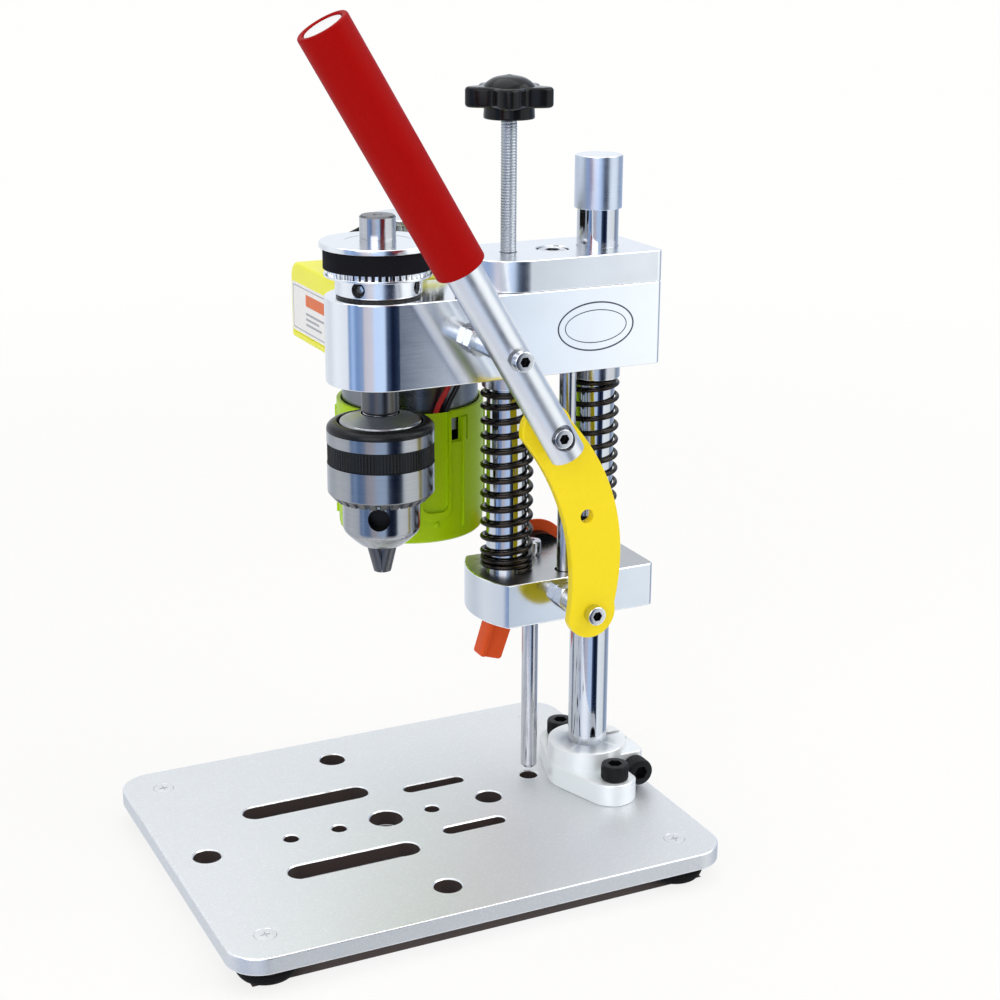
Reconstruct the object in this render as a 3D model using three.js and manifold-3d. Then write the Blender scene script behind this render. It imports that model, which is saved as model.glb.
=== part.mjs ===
// Mini drill press: a sprung drill head rides on two shafts and a hand lever pulls it down.
// Lengths are millimetres. +Z is up, -Y is the front with the chuck, +X is the side with the lever.
// Heights count from the top of the base plate, and the finished group is lifted onto its feet.

import * as THREE from 'three';
import { mergeVertices } from 'three/addons/utils/BufferGeometryUtils.js';
import Module from 'manifold-3d';

const wasm = await Module();
wasm.setup();

// Clearances and facets
const play = 0.3;
const springPlay = 0.15;
const overrun = 1;
const weld = 0.0001;
const fineFacets = 32;
const roundFacets = 24;
const coarseFacets = 16;
const smallFacets = 12;
const hexSides = 6;
const arcSteps = 6;
const fullArcLimit = 4.2;

// Base plate and feet
const plateWidth = 120;
const plateDepth = 150;
const plateThickness = 5;
const plateCorner = 10;
const footInset = 12;
const footHeight = 6;
const footRadius = 9;
const footTaper = 0.8;
const footScrewRadius = 1.5;
const footScrewHeadRadius = 3;
const footScrewHeadDepth = 1.6;
const footScrewLength = 9;
const footScrewSink = 0.1;
const drillHoleRadius = 5;
const boltHoleRadius = 4;
const boltHoleInset = 15;
const frontHoleInset = 11;
const rearHoleReach = 34;
const smallHoleRadius = 2.25;
const smallHoleShare = 0.27;
const wideSlotWidth = 8;
const wideSlotInset = 28.5;
const wideSlotRear = 2;
const wideSlotReach = 20;
const thinSlotWidth = 4.5;
const thinSlotLength = 20;
const thinSlotReach = 15;
const thinSlotShift = 22.2;

// Shafts
const columnInset = 15.5;
const throat = 68;
const shaftSpacing = 28.5;
const shaftRadius = 6;
const shaftChamfer = 0.6;
const lowerRodX = -8.6;
const lowerRodReach = 16;
const guideRodX = 8.3;
const guideRodReach = 13.2;
const thinRodRadius = 2.5;
const lowerRodEnd = 3.8;
const lowerRodHeadRadius = 4;
const lowerRodHeadHeight = 4;
const guideRodDrop = 69;
const guideRodDepth = 12;

// Column flange and cap
const flangeRadius = 12.5;
const flangeEndRadius = 7.5;
const flangeEndReach = 16;
const flangeHeight = 7;
const flangeBossRadius = 12.2;
const flangeBossHeight = 13;
const flangeBoltReach = 18;
const flangeSlit = 1.6;
const earHalfWidth = 10.5;
const earHeight = 10.5;
const earReach = 14.8;
const clampScrewReach = 10.6;
const clampScrewHeight = 5.6;
const clampScrewRadius = 2;
const clampScrewLength = 20;
const boltRadius = 2.5;
const boltHeadRadius = 4.2;
const boltHeadHeight = 5;
const boltSocketRadius = 2.3;
const boltSocketDepth = 2.5;
const capRadius = 6.85;
const capHeight = 15.1;
const capWall = 1.8;

// Lower block
const blockHalfWidth = 15;
const blockOverhang = 13.5;
const blockCorner = 2;
const lowerBlockTop = 73.7;
const lowerBlockHeight = 13.3;
const lowerBlockNose = 11;
const lowerBlockFrontRadius = 26.5;

// Head, top plate and bushes
const headBottom = 135;
const headHeight = 24;
const topPlateThickness = 9;
const bushRadius = 7.4;
const bushDrop = 5.7;
const stroke = 20;
const plateScrewReach = 14.5;
const plateScrewSink = 0.3;
const plateScrewLength = 14;
const bearingRadius = 11;
const bearingHeight = 6;
const bearingWaist = 8.5;
const washerHeight = 0.4;
const washerRadius = 11.7;
const columnRise = 10.8;

// Spindle and pulleys
const spindleRadius = 5;
const spindleRise = 7;
const spindleChamfer = 0.7;
const spindleShoulderRadius = 5.4;
const spindleTaper = 0.8;
const pulleyTeeth = 45;
const motorPulleyTeeth = 30;
const toothTipRadius = 13.9;
const toothDepth = 0.9;
const toothTipShare = 0.3;
const toothFlankShare = 0.15;
const pulleyFlangeRadius = 16.1;
const pulleyFlangeHeight = 1.6;
const pulleyRimHeight = 0.9;
const pulleyRimRadius = 14.4;
const pulleyHubRadius = 12;
const pulleyHubHeight = 4.9;
const beltRoom = 1.4;
const beltHeight = 5.5;
const beltThickness = 1.05;
const motorPulleyFlangeRadius = 11.6;
const motorPulleyHubRadius = 5.4;
const setScrewRadius = 2;
const setScrewSocket = 1;
const setScrewHeight = 2.5;
const setScrewSink = 1;
const setScrewTurn = -58;
const setScrewSpread = 90;

// Chuck
const chuckDrop = 9.4;
const chuckConeHeight = 1.8;
const chuckConeRadius = 11.7;
const chuckBodyRadius = 11.05;
const chuckCollarHeight = 9;
const noseHeight = 4.5;
const noseRadius = 6.2;
const noseEdge = 1.2;
const noseBoreRadius = 3.3;
const spindleSocket = 19.4;
const sleeveRadius = 15.2;
const sleeveChamferHeight = 3.5;
const sleeveChamferRadius = 12.6;
const sleeveBandHeight = 18;
const sleeveBevelHeight = 1.8;
const sleeveBevelRadius = 13.2;
const sleeveTeeth = 28;
const sleeveToothDepth = 1.5;
const sleeveToothShare = 0.52;
const keyHoleRadius = 3.2;
const keyHoleDrop = 3.1;
const keyHoleDepth = 4;
const keyHoleTurn = -26.3;
const jawCount = 3;
const jawTilt = 15;
const jawRadius = 2.1;
const jawReach = 8;
const jawHeight = 17;
const jawOffset = 0.25;
const jawParting = 0.12;

// Motor, cover and housing
const motorSide = 23;
const motorReach = 25.2;
const motorRadius = 20.6;
const motorHeight = 55.1;
const motorNeckRadius = 8.5;
const motorNeckHeight = 1.6;
const motorShaftRadius = 2.5;
const motorEdge = 1.2;
const motorBoreDepth = 20.6;
const coverOuterRadius = 22.3;
const coverWall = 1.3;
const coverHeight = 40.5;
const coverFloor = 1.6;
const coverGap = 0.5;
const coverWindowWidth = 10;
const coverWindowInset = 6;
const coverWindowHeight = 17;
const coverWindowTurn = -22;
const coverRibCount = 8;
const coverRibWidth = 1.6;
const coverRibHeight = 0.6;
const coverVentRadius = 2.2;
const coverVentReach = 13;
const housingWidth = 44;
const housingNose = 4.5;
const housingLength = 78;
const housingHeight = 23.3;
const housingLift = 0.3;
const housingRound = 5;
const housingWall = 2.2;
const socketRadius = 4.6;
const socketBore = 2.8;
const socketDepth = 8;
const socketRim = 1.4;
const socketPinRadius = 0.9;
const socketReach = 17;
const knobRadius = 6.5;
const knobHeight = 8.5;
const knobEdge = 0.8;
const knobShaftRadius = 3;
const leadRadius = 0.9;
const leadSpacing = 3.4;
const leadSteps = 10;
const leadSides = 4;
const leadShares = [-0.5, 0.5];

// Depth stop
const depthScrewRadius = 2.3;
const knobRise = 37;
const starHubRadius = 7.3;
const starHubHeight = 3;
const starHeight = 5;
const starRadius = 10.4;
const starLobe = 1.8;
const starLobes = 5;
const starLobeSteps = 8;
const starDomeHeight = 4.5;
const starDomeRadius = 6.2;
const starSocketDepth = 6;

// Feed lever and link
const leverPivotReach = 17;
const leverPivotDrop = 11.5;
const joinReach = 14;
const joinDrop = 23.5;
const linkPivotReach = 12;
const linkPivotDrop = 5.4;
const leverRadius = 5;
const leverGap = 0.5;
const leverTail = 6.5;
const gripStart = 28.6;
const gripLength = 71.5;
const gripRadius = 7;
const gripRim = 1.4;
const gripRecess = 1.5;
const leverTopGap = 4;
const joinSlot = 3.6;
const joinSlotHalf = 2.5;
const joinHeadHalf = 3.7;
const joinHeadShift = 1;
const linkStandoff = 13.5;
const linkThickness = 3;
const linkHoleRadius = 2;
const linkHoleBow = 5.5;
const linkEndRadius = 7.6;
const linkOuterBow = 7.4;
const linkInnerBow = 6.2;
const pinRadius = 1.5;
const pinHeadRadius = 2.75;
const pinHeadHeight = 3;
const pinSocketRadius = 1.4;
const pinSocketDepth = 1.5;
const pinDepth = 3;
const leverPinDepth = 6;
const nutRadius = 4.4;
const nutHeight = 4;
const joinNutRadius = 3.65;
const spacerRadius = 3;

// Clamp
const clampReach = 9.5;
const clampDrop = 4.7;
const clampStudRadius = 2.5;
const clampStudDepth = 10;
const clampBossRadius = 5.5;
const clampBossLength = 4;
const clampHubRadius = 9.2;
const clampHubOuterRadius = 7.6;
const clampHubLength = 14.6;
const clampHubCap = 3;
const clampArmLean = 18;
const clampArmLength = 37;
const clampArmHalf = 4.35;
const clampArmThickness = 6;
const clampArmShift = 13;

// Springs
const frontWire = 1.5;
const rearWire = 1.2;
const closedGap = 0.55;
const closedCurls = 2;
const frontCurls = 11;
const rearCurls = 11;
const curlSteps = 8;
const wireSides = 5;

// Places along Y, counted from the plate's ends and the column
const frontHoleY = frontHoleInset - plateDepth / 2;
const wideSlotFront = wideSlotInset - plateDepth / 2;
const columnY = plateDepth / 2 - columnInset;
const spindleY = columnY - throat;
const wideSlotEnd = spindleY + wideSlotRear;
const smallHolePitch = (spindleY - frontHoleY) * smallHoleShare;
const guideY = columnY - shaftSpacing;
const blockRear = columnY + blockOverhang;
const lowerBlockFront = guideY - lowerBlockNose;
const lowerRodY = columnY - lowerRodReach;
const guideRodY = columnY - guideRodReach;
const plateScrewY = columnY - plateScrewReach;
const clampY = columnY - clampReach;
const motorY = spindleY + motorReach;
const housingFront = spindleY - housingNose;
const housingRear = housingFront + housingLength;
const socketY = housingRear - socketReach;
const leverPivotY = guideY - leverPivotReach;
const joinY = leverPivotY + joinReach;
const linkPivotY = guideY + linkPivotReach;

// Places along X
const boltHoleReach = plateWidth / 2 - boltHoleInset;
const housingLeft = -blockHalfWidth - housingWidth;
const motorX = -blockHalfWidth - motorSide;
const linkInnerX = blockHalfWidth + linkStandoff;
const leverX = linkInnerX + linkThickness + leverGap + leverRadius;
const joinHeadFloor = leverX + joinHeadShift;
const clampArmX = -blockHalfWidth - clampArmShift;

// Heights
const lowerBlockBottom = lowerBlockTop - lowerBlockHeight;
const linkPivotZ = lowerBlockTop - linkPivotDrop;
const clampZ = lowerBlockTop - clampDrop;
const headTop = headBottom + headHeight;
const bushBottom = headBottom - bushDrop;
const guideRodEnd = headBottom - guideRodDrop;
const guideTop = headTop - stroke - play;
const topPlateTop = headTop + topPlateThickness;
const capBottom = topPlateTop + columnRise;
const pulleyBottom = headTop + washerHeight + play;
const pulleyRimBottom = pulleyBottom + pulleyHubHeight;
const pulleyFlangeBottom = pulleyRimBottom + pulleyRimHeight + beltHeight + beltRoom;
const pulleyTop = pulleyFlangeBottom + pulleyFlangeHeight;
const spindleTop = pulleyTop + spindleRise;
const setScrewZ = pulleyBottom + setScrewHeight;
const chuckTop = headBottom - chuckDrop;
const chuckConeFoot = chuckTop - chuckConeHeight;
const chuckBoreTop = chuckTop - spindleSocket;
const sleeveShoulder = chuckConeFoot - sleeveChamferHeight;
const sleeveBevel = sleeveShoulder - sleeveBandHeight;
const sleeveBottom = sleeveBevel - sleeveBevelHeight;
const keyHoleHeight = sleeveBottom - keyHoleDrop;
const chuckTaperTop = sleeveBottom - chuckCollarHeight;
const noseBottom = chuckTaperTop - noseHeight;
const jawTip = noseBottom - jawReach;
const jawTop = jawTip + jawHeight;
const housingTop = headTop + housingLift;
const housingBottom = housingTop - housingHeight;
const controlHeight = (housingBottom + housingTop) / 2;
const motorTop = housingBottom - play;
const motorBottom = motorTop - motorHeight;
const coverBottom = motorBottom - coverFloor - coverGap;
const coverTop = coverBottom + coverHeight;
const coverWindowTop = coverTop - coverWindowInset;
const coverWindowBottom = coverWindowTop - coverWindowHeight;
const knobBottom = topPlateTop + knobRise;
const starBottom = knobBottom + starHubHeight;
const starTop = starBottom + starHeight;
const starDomeTop = starTop + starDomeHeight;
const leverPivotZ = headTop - leverPivotDrop;
const joinZ = leverPivotZ - joinDrop;

// Belt, set screws, lever and leads
const beltCentre = Math.hypot(motorX, motorY - spindleY);
const beltLine = Math.atan2(motorY - spindleY, motorX);
const setScrewTurns = [setScrewTurn, setScrewTurn + setScrewSpread];
const leverLean = Math.atan2(joinY - leverPivotY, leverPivotZ - joinZ);
const leverArm = Math.hypot(joinY - leverPivotY, leverPivotZ - joinZ);
const leadReach = (motorRadius + coverOuterRadius) / 2 + leadRadius * 2;
const motorToothTip = (toothTipRadius * motorPulleyTeeth) / pulleyTeeth;

// Finishes
const finishes = {
  plate: { color: 0xc9cbcd, roughness: 0.55, metalness: 0.9 },
  aluminium: { color: 0xd6d9dc, roughness: 0.3, metalness: 0.95 },
  steel: { color: 0xb9bcc2, roughness: 0.18, metalness: 1 },
  darkSteel: { color: 0x3a3836, roughness: 0.4, metalness: 0.9 },
  blackScrew: { color: 0x17171a, roughness: 0.45, metalness: 0.7 },
  rubber: { color: 0x121214, roughness: 0.85, metalness: 0 },
  blackPlastic: { color: 0x0f0f11, roughness: 0.3, metalness: 0 },
  red: { color: 0xd81410, roughness: 0.42, metalness: 0 },
  white: { color: 0xf0f0ee, roughness: 0.5, metalness: 0 },
  yellow: { color: 0xf6dd1c, roughness: 0.35, metalness: 0 },
  housing: { color: 0xf4ef3c, roughness: 0.5, metalness: 0 },
  lime: { color: 0x98bf1e, roughness: 0.35, metalness: 0 },
  orange: { color: 0xd4502a, roughness: 0.45, metalness: 0 },
  motorSteel: { color: 0x9b9fa4, roughness: 0.35, metalness: 0.9 },
  redWire: { color: 0xa81414, roughness: 0.5, metalness: 0 },
};

// A closed manifold solid from any closed three.js geometry, with its faces turned outward.
function solid(geometry) {
  const bare = geometry.clone();
  bare.deleteAttribute('normal');
  bare.deleteAttribute('uv');
  const merged = mergeVertices(bare, weld);
  const corners = merged.index.array;
  const points = merged.attributes.position.array;
  const faces = [];
  let volume = 0;
  for (let i = 0; i < corners.length; i += 3) {
    const [a, b, c] = [corners[i], corners[i + 1], corners[i + 2]];
    if (a === b || b === c || c === a) continue;
    faces.push(a, b, c);
    const [p, q, r] = [a, b, c].map((k) => new THREE.Vector3().fromArray(points, k * 3));
    volume += p.dot(q.cross(r));
  }
  if (volume < 0) {
    for (let i = 0; i < faces.length; i += 3) {
      [faces[i], faces[i + 1]] = [faces[i + 1], faces[i]];
    }
  }
  const mesh = new wasm.Mesh({ numProp: 3, vertProperties: points, triVerts: Uint32Array.from(faces) });
  return new wasm.Manifold(mesh);
}

function toGeometry(body) {
  const mesh = body.getMesh();
  const geometry = new THREE.BufferGeometry();
  geometry.setAttribute('position', new THREE.BufferAttribute(mesh.vertProperties, 3));
  geometry.setIndex(new THREE.BufferAttribute(mesh.triVerts, 1));
  return geometry;
}

// One geometry from a base shape, what joins it and what is cut from it.
function shaped(base, joined = [], cuts = []) {
  let body = solid(base);
  for (const piece of joined) body = body.add(solid(piece));
  for (const piece of cuts) body = body.subtract(solid(piece));
  return toGeometry(body);
}

// Turned form about Z from [radius, height] pairs.
function turned(profile, facets = roundFacets) {
  const points = profile.map(([radius, height]) => new THREE.Vector2(radius, height));
  return new THREE.LatheGeometry(points, facets).rotateX(Math.PI / 2);
}

function rod(radius, low, high, facets = roundFacets) {
  return turned([[0, low], [radius, low], [radius, high], [0, high]], facets);
}

function ring(inner, outer, low, high, facets = roundFacets) {
  return turned([[inner, low], [outer, low], [outer, high], [inner, high], [inner, low]], facets);
}

function slab(shape, low, high) {
  const depth = high - low;
  const options = { depth, bevelEnabled: false, curveSegments: arcSteps };
  return new THREE.ExtrudeGeometry(shape, options).translate(0, 0, low);
}

function box(x0, x1, y0, y1, z0, z1) {
  const geometry = new THREE.BoxGeometry(x1 - x0, y1 - y0, z1 - z0);
  return geometry.translate((x0 + x1) / 2, (y0 + y1) / 2, (z0 + z1) / 2);
}

// Turns a form built in the plane of X and Y with height Z so that it lies in Y and Z along X.
function alongX(geometry) {
  const turn = new THREE.Matrix4().makeBasis(
    new THREE.Vector3(0, 1, 0),
    new THREE.Vector3(0, 0, 1),
    new THREE.Vector3(1, 0, 0),
  );
  return geometry.applyMatrix4(turn);
}

function alongY(geometry) {
  const turn = new THREE.Matrix4().makeBasis(
    new THREE.Vector3(0, 0, 1),
    new THREE.Vector3(1, 0, 0),
    new THREE.Vector3(0, 1, 0),
  );
  return geometry.applyMatrix4(turn);
}

// Round hole of one full arc, or of two half arcs with twice the facets where it is larger.
function roundHole(shape, x, y, radius) {
  const path = new THREE.Path();
  if (radius > fullArcLimit) {
    path.absarc(x, y, radius, 0, Math.PI, false);
    path.absarc(x, y, radius, Math.PI, Math.PI * 2, false);
  } else {
    path.absarc(x, y, radius, 0, Math.PI * 2, false);
  }
  shape.holes.push(path);
}

// Slot that runs along Y where upright is true, and along X otherwise.
function slotPath(path, x, y, length, width, upright) {
  const radius = width / 2;
  const reach = length / 2 - radius;
  if (upright) {
    path.absarc(x, y + reach, radius, 0, Math.PI, false);
    path.absarc(x, y - reach, radius, Math.PI, Math.PI * 2, false);
  } else {
    path.absarc(x + reach, y, radius, -Math.PI / 2, Math.PI / 2, false);
    path.absarc(x - reach, y, radius, Math.PI / 2, Math.PI * 1.5, false);
  }
  path.closePath();
  return path;
}

function roundedPlate(halfWidth, halfDepth, corner) {
  const shape = new THREE.Shape();
  shape.absarc(halfWidth - corner, halfDepth - corner, corner, 0, Math.PI / 2, false);
  shape.absarc(corner - halfWidth, halfDepth - corner, corner, Math.PI / 2, Math.PI, false);
  shape.absarc(corner - halfWidth, corner - halfDepth, corner, Math.PI, Math.PI * 1.5, false);
  shape.absarc(halfWidth - corner, corner - halfDepth, corner, Math.PI * 1.5, Math.PI * 2, false);
  shape.closePath();
  return shape;
}

// Socket head screw along Z with its head's underside at the given height.
function socketScrew(radius, length, headRadius, headHeight, socketRadius, socketDepth, seat) {
  const top = seat + headHeight;
  const head = turned([
    [0, seat - length],
    [radius, seat - length],
    [radius, seat],
    [headRadius, seat],
    [headRadius, top],
    [0, top],
  ], smallFacets);
  const socket = rod(socketRadius, top - socketDepth, top + overrun, hexSides);
  return shaped(head, [], [socket]);
}

const machine = new THREE.Group();
machine.position.z = footHeight + plateThickness;

function addPiece(name, geometry, finish, parent = machine) {
  const mesh = new THREE.Mesh(geometry, new THREE.MeshStandardMaterial(finishes[finish]));
  mesh.name = name;
  parent.add(mesh);
  return mesh;
}

function footPlaces() {
  const x = plateWidth / 2 - footInset;
  const y = plateDepth / 2 - footInset;
  return [[-x, -y], [x, -y], [-x, y], [x, y]];
}

function basePlate() {
  const shape = roundedPlate(plateWidth / 2, plateDepth / 2, plateCorner);
  roundHole(shape, 0, spindleY, drillHoleRadius);
  roundHole(shape, -boltHoleReach, spindleY, boltHoleRadius);
  roundHole(shape, boltHoleReach, spindleY, boltHoleRadius);
  roundHole(shape, 0, frontHoleY, boltHoleRadius);
  roundHole(shape, 0, spindleY + rearHoleReach, boltHoleRadius);
  for (const step of [-2, -1, 1]) {
    roundHole(shape, 0, spindleY + step * smallHolePitch, smallHoleRadius);
  }
  for (const side of [-1, 1]) {
    const wideY = (wideSlotFront + wideSlotEnd) / 2;
    const wideLength = wideSlotEnd - wideSlotFront;
    const thinY = spindleY + thinSlotShift;
    const wide = [side * wideSlotReach, wideY, wideLength, wideSlotWidth, true];
    const thin = [side * thinSlotReach, thinY, thinSlotLength, thinSlotWidth, true];
    shape.holes.push(slotPath(new THREE.Path(), ...wide));
    shape.holes.push(slotPath(new THREE.Path(), ...thin));
    roundHole(shape, side * flangeBoltReach, columnY, boltRadius + play);
  }
  roundHole(shape, lowerRodX, lowerRodY, thinRodRadius + play);
  for (const [x, y] of footPlaces()) roundHole(shape, x, y, footScrewRadius + play);
  const sinks = footPlaces().map(([x, y]) => {
    const neck = footScrewRadius + play;
    const mouth = footScrewHeadRadius + play;
    const sink = turned([
      [0, -footScrewHeadDepth],
      [neck, -footScrewHeadDepth],
      [mouth, 0],
      [mouth, overrun],
      [0, overrun],
    ], smallFacets);
    return sink.translate(x, y, 0);
  });
  return shaped(slab(shape, -plateThickness, 0), [], sinks);
}

function foot() {
  const top = -plateThickness;
  const bottom = top - footHeight;
  const bore = rod(footScrewRadius + play, -footScrewLength - play, top + overrun, smallFacets);
  const body = turned([
    [0, bottom],
    [footRadius - footTaper * 2, bottom],
    [footRadius - footTaper, bottom + footTaper],
    [footRadius, top],
    [0, top],
  ], coarseFacets);
  return shaped(body, [], [bore]);
}

function footScrew() {
  return turned([
    [0, -footScrewLength],
    [footScrewRadius, -footScrewLength],
    [footScrewRadius, -footScrewHeadDepth - play],
    [footScrewHeadRadius, -play],
    [footScrewHeadRadius, -footScrewSink],
    [0, -footScrewSink],
  ], smallFacets);
}

function flangeShape() {
  const normal = Math.acos((flangeRadius - flangeEndRadius) / flangeEndReach);
  const shape = new THREE.Shape();
  shape.absarc(flangeEndReach, 0, flangeEndRadius, -normal, normal, false);
  shape.absarc(0, 0, flangeRadius, normal, Math.PI - normal, false);
  shape.absarc(-flangeEndReach, 0, flangeEndRadius, Math.PI - normal, Math.PI + normal, false);
  shape.absarc(0, 0, flangeRadius, Math.PI + normal, Math.PI * 2 - normal, false);
  shape.closePath();
  return shape;
}

function columnFlange() {
  const boss = rod(flangeBossRadius, flangeHeight - overrun, flangeBossHeight);
  const ear = box(-earHalfWidth, earHalfWidth, 0, earReach, 0, earHeight);
  const cuts = [rod(shaftRadius + play, -overrun, flangeBossHeight + overrun)];
  const slitTop = flangeBossHeight + overrun;
  cuts.push(box(-flangeSlit / 2, flangeSlit / 2, 0, earReach + overrun, -overrun, slitTop));
  for (const side of [-1, 1]) {
    const hole = rod(boltRadius + play, -overrun, flangeHeight + overrun, smallFacets);
    cuts.push(hole.translate(side * flangeBoltReach, 0, 0));
  }
  const far = flangeEndReach + flangeEndRadius + overrun;
  const pocket = rod(boltHeadRadius + play, earHalfWidth, far, smallFacets);
  const bore = rod(clampScrewRadius + play, -earHalfWidth - overrun, far, smallFacets);
  cuts.push(alongX(pocket).translate(0, clampScrewReach, clampScrewHeight));
  cuts.push(alongX(bore).translate(0, clampScrewReach, clampScrewHeight));
  const body = slab(flangeShape(), 0, flangeHeight);
  return shaped(body, [boss, ear], cuts).translate(0, columnY, 0);
}

function flangeBolt() {
  const reach = flangeHeight + plateThickness - play;
  const sizes = [boltRadius, reach, boltHeadRadius, boltHeadHeight, boltSocketRadius, boltSocketDepth];
  return socketScrew(...sizes, flangeHeight).translate(0, columnY, 0);
}

function flangeClampScrew() {
  const sizes = [clampScrewRadius, clampScrewLength, boltHeadRadius, boltHeadHeight];
  const screw = socketScrew(...sizes, boltSocketRadius, boltSocketDepth, earHalfWidth + play);
  return alongX(screw).translate(0, columnY + clampScrewReach, clampScrewHeight);
}

function shaft(radius, low, high, chamfer, facets = roundFacets) {
  return turned([
    [0, low],
    [radius - chamfer, low],
    [radius, low + chamfer],
    [radius, high - chamfer],
    [radius - chamfer, high],
    [0, high],
  ], facets);
}

function columnCap() {
  const top = capBottom + capHeight;
  const bore = rod(shaftRadius + play, capBottom - overrun, top - capWall);
  return shaped(shaft(capRadius, capBottom, top, shaftChamfer), [], [bore]);
}

function lowerBlock() {
  const half = Math.asin(blockHalfWidth / lowerBlockFrontRadius);
  const centre = lowerBlockFront + lowerBlockFrontRadius;
  const down = -Math.PI / 2;
  const shape = new THREE.Shape();
  shape.absarc(0, centre, lowerBlockFrontRadius, down - half, down + half, false);
  const cornerX = blockHalfWidth - blockCorner;
  const cornerY = blockRear - blockCorner;
  shape.absarc(cornerX, cornerY, blockCorner, 0, Math.PI / 2, false);
  shape.absarc(-cornerX, cornerY, blockCorner, Math.PI / 2, Math.PI, false);
  shape.closePath();
  roundHole(shape, 0, columnY, shaftRadius + play);
  roundHole(shape, 0, guideY, shaftRadius + play);
  roundHole(shape, lowerRodX, lowerRodY, thinRodRadius + play);
  roundHole(shape, guideRodX, guideRodY, thinRodRadius + play * 2);
  const studReach = clampStudDepth + play;
  const studEnd = studReach - blockHalfWidth;
  const stud = rod(clampStudRadius + play, -blockHalfWidth - overrun, studEnd, smallFacets);
  const pinEnd = blockHalfWidth - pinDepth - play;
  const pin = rod(pinRadius + play, pinEnd, blockHalfWidth + overrun, smallFacets);
  return shaped(slab(shape, lowerBlockBottom, lowerBlockTop), [], [
    alongX(stud).translate(0, clampY, clampZ),
    alongX(pin).translate(0, linkPivotY, linkPivotZ),
  ]);
}

function lowerRod() {
  const seat = lowerBlockTop + play;
  const length = seat - lowerRodEnd;
  const sizes = [thinRodRadius, length, lowerRodHeadRadius, lowerRodHeadHeight];
  return socketScrew(...sizes, boltSocketRadius, boltSocketDepth, seat).translate(lowerRodX, lowerRodY, 0);
}

// Outline of the head or the top plate: a full round at the front and small rounds at the rear.
function headShape(frontY) {
  const cornerX = blockHalfWidth - blockCorner;
  const cornerY = blockRear - blockCorner;
  const shape = new THREE.Shape();
  shape.absarc(0, frontY, blockHalfWidth, Math.PI, Math.PI * 2, false);
  shape.absarc(cornerX, cornerY, blockCorner, 0, Math.PI / 2, false);
  shape.absarc(-cornerX, cornerY, blockCorner, Math.PI / 2, Math.PI, false);
  shape.closePath();
  return shape;
}

function headBlock() {
  const shape = headShape(spindleY);
  roundHole(shape, 0, spindleY, bearingWaist);
  roundHole(shape, 0, guideY, bushRadius + play);
  roundHole(shape, 0, columnY, bushRadius + play);
  const seat = bearingRadius + play;
  const seatDepth = bearingHeight + play;
  const lowSeat = rod(seat, headBottom - overrun, headBottom + seatDepth).translate(0, spindleY, 0);
  const highSeat = rod(seat, headTop - seatDepth, headTop + overrun).translate(0, spindleY, 0);
  const screwDepth = plateScrewLength - topPlateThickness + boltHeadHeight + plateScrewSink;
  const screwHole = rod(boltRadius + play, headTop - screwDepth - play, headTop + overrun, smallFacets);
  const rodTop = headBottom + guideRodDepth + play;
  const rodHole = rod(thinRodRadius + play, headBottom - overrun, rodTop, smallFacets);
  const pinEnd = blockHalfWidth - leverPinDepth - play;
  const pin = rod(pinRadius + play, pinEnd, blockHalfWidth + overrun, smallFacets);
  return shaped(slab(shape, headBottom, headTop), [], [
    lowSeat,
    highSeat,
    screwHole.translate(0, plateScrewY, 0),
    rodHole.translate(guideRodX, guideRodY, 0),
    alongX(pin).translate(0, leverPivotY, leverPivotZ),
  ]);
}

function topPlate() {
  const shape = headShape(guideY);
  roundHole(shape, 0, guideY, depthScrewRadius + play);
  roundHole(shape, 0, plateScrewY, boltRadius + play);
  roundHole(shape, 0, columnY, shaftRadius + play);
  const sinkBottom = topPlateTop - boltHeadHeight - plateScrewSink;
  const sink = rod(boltHeadRadius + play * 2, sinkBottom, topPlateTop + overrun);
  return shaped(slab(shape, headTop, topPlateTop), [], [sink.translate(0, plateScrewY, 0)]);
}

function topPlateScrew() {
  const seat = topPlateTop - boltHeadHeight - plateScrewSink;
  const sizes = [boltRadius, plateScrewLength, boltHeadRadius, boltHeadHeight];
  return socketScrew(...sizes, boltSocketRadius, boltSocketDepth, seat).translate(0, plateScrewY, 0);
}

function bush(y) {
  const inner = shaftRadius + play;
  return ring(inner, bushRadius, bushBottom, headTop - play).translate(0, y, 0);
}

function bearing(low) {
  const body = ring(spindleRadius + play, bearingRadius, low, low + bearingHeight, coarseFacets);
  return body.translate(0, spindleY, 0);
}

function spindle() {
  const low = chuckBoreTop + overrun + play;
  const shoulder = headBottom - play;
  return turned([
    [0, low],
    [spindleRadius - spindleTaper, low],
    [spindleRadius, chuckTop + play],
    [spindleShoulderRadius, chuckTop + play],
    [spindleShoulderRadius, shoulder],
    [spindleRadius, shoulder],
    [spindleRadius, spindleTop - spindleChamfer],
    [spindleRadius - spindleChamfer, spindleTop],
    [0, spindleTop],
  ]).translate(0, spindleY, 0);
}

// Toothed drum: flat tooth tips and roots joined by straight flanks.
function toothedDrum(teeth, tip, low, high) {
  const root = tip - toothDepth;
  const shape = new THREE.Shape();
  for (let tooth = 0; tooth < teeth; tooth += 1) {
    const corners = [
      [0, tip],
      [toothTipShare, tip],
      [toothTipShare + toothFlankShare, root],
      [1 - toothFlankShare, root],
    ];
    for (const [share, radius] of corners) {
      const angle = ((tooth + share) / teeth) * Math.PI * 2;
      const x = radius * Math.cos(angle);
      const y = radius * Math.sin(angle);
      if (tooth === 0 && share === 0) shape.moveTo(x, y);
      else shape.lineTo(x, y);
    }
  }
  shape.closePath();
  return slab(shape, low, high);
}

function radialHole(radius, inner, outer, height, turn) {
  const hole = alongX(rod(radius, inner, outer, smallFacets));
  return hole.translate(0, 0, height).rotateZ(THREE.MathUtils.degToRad(turn));
}

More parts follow.
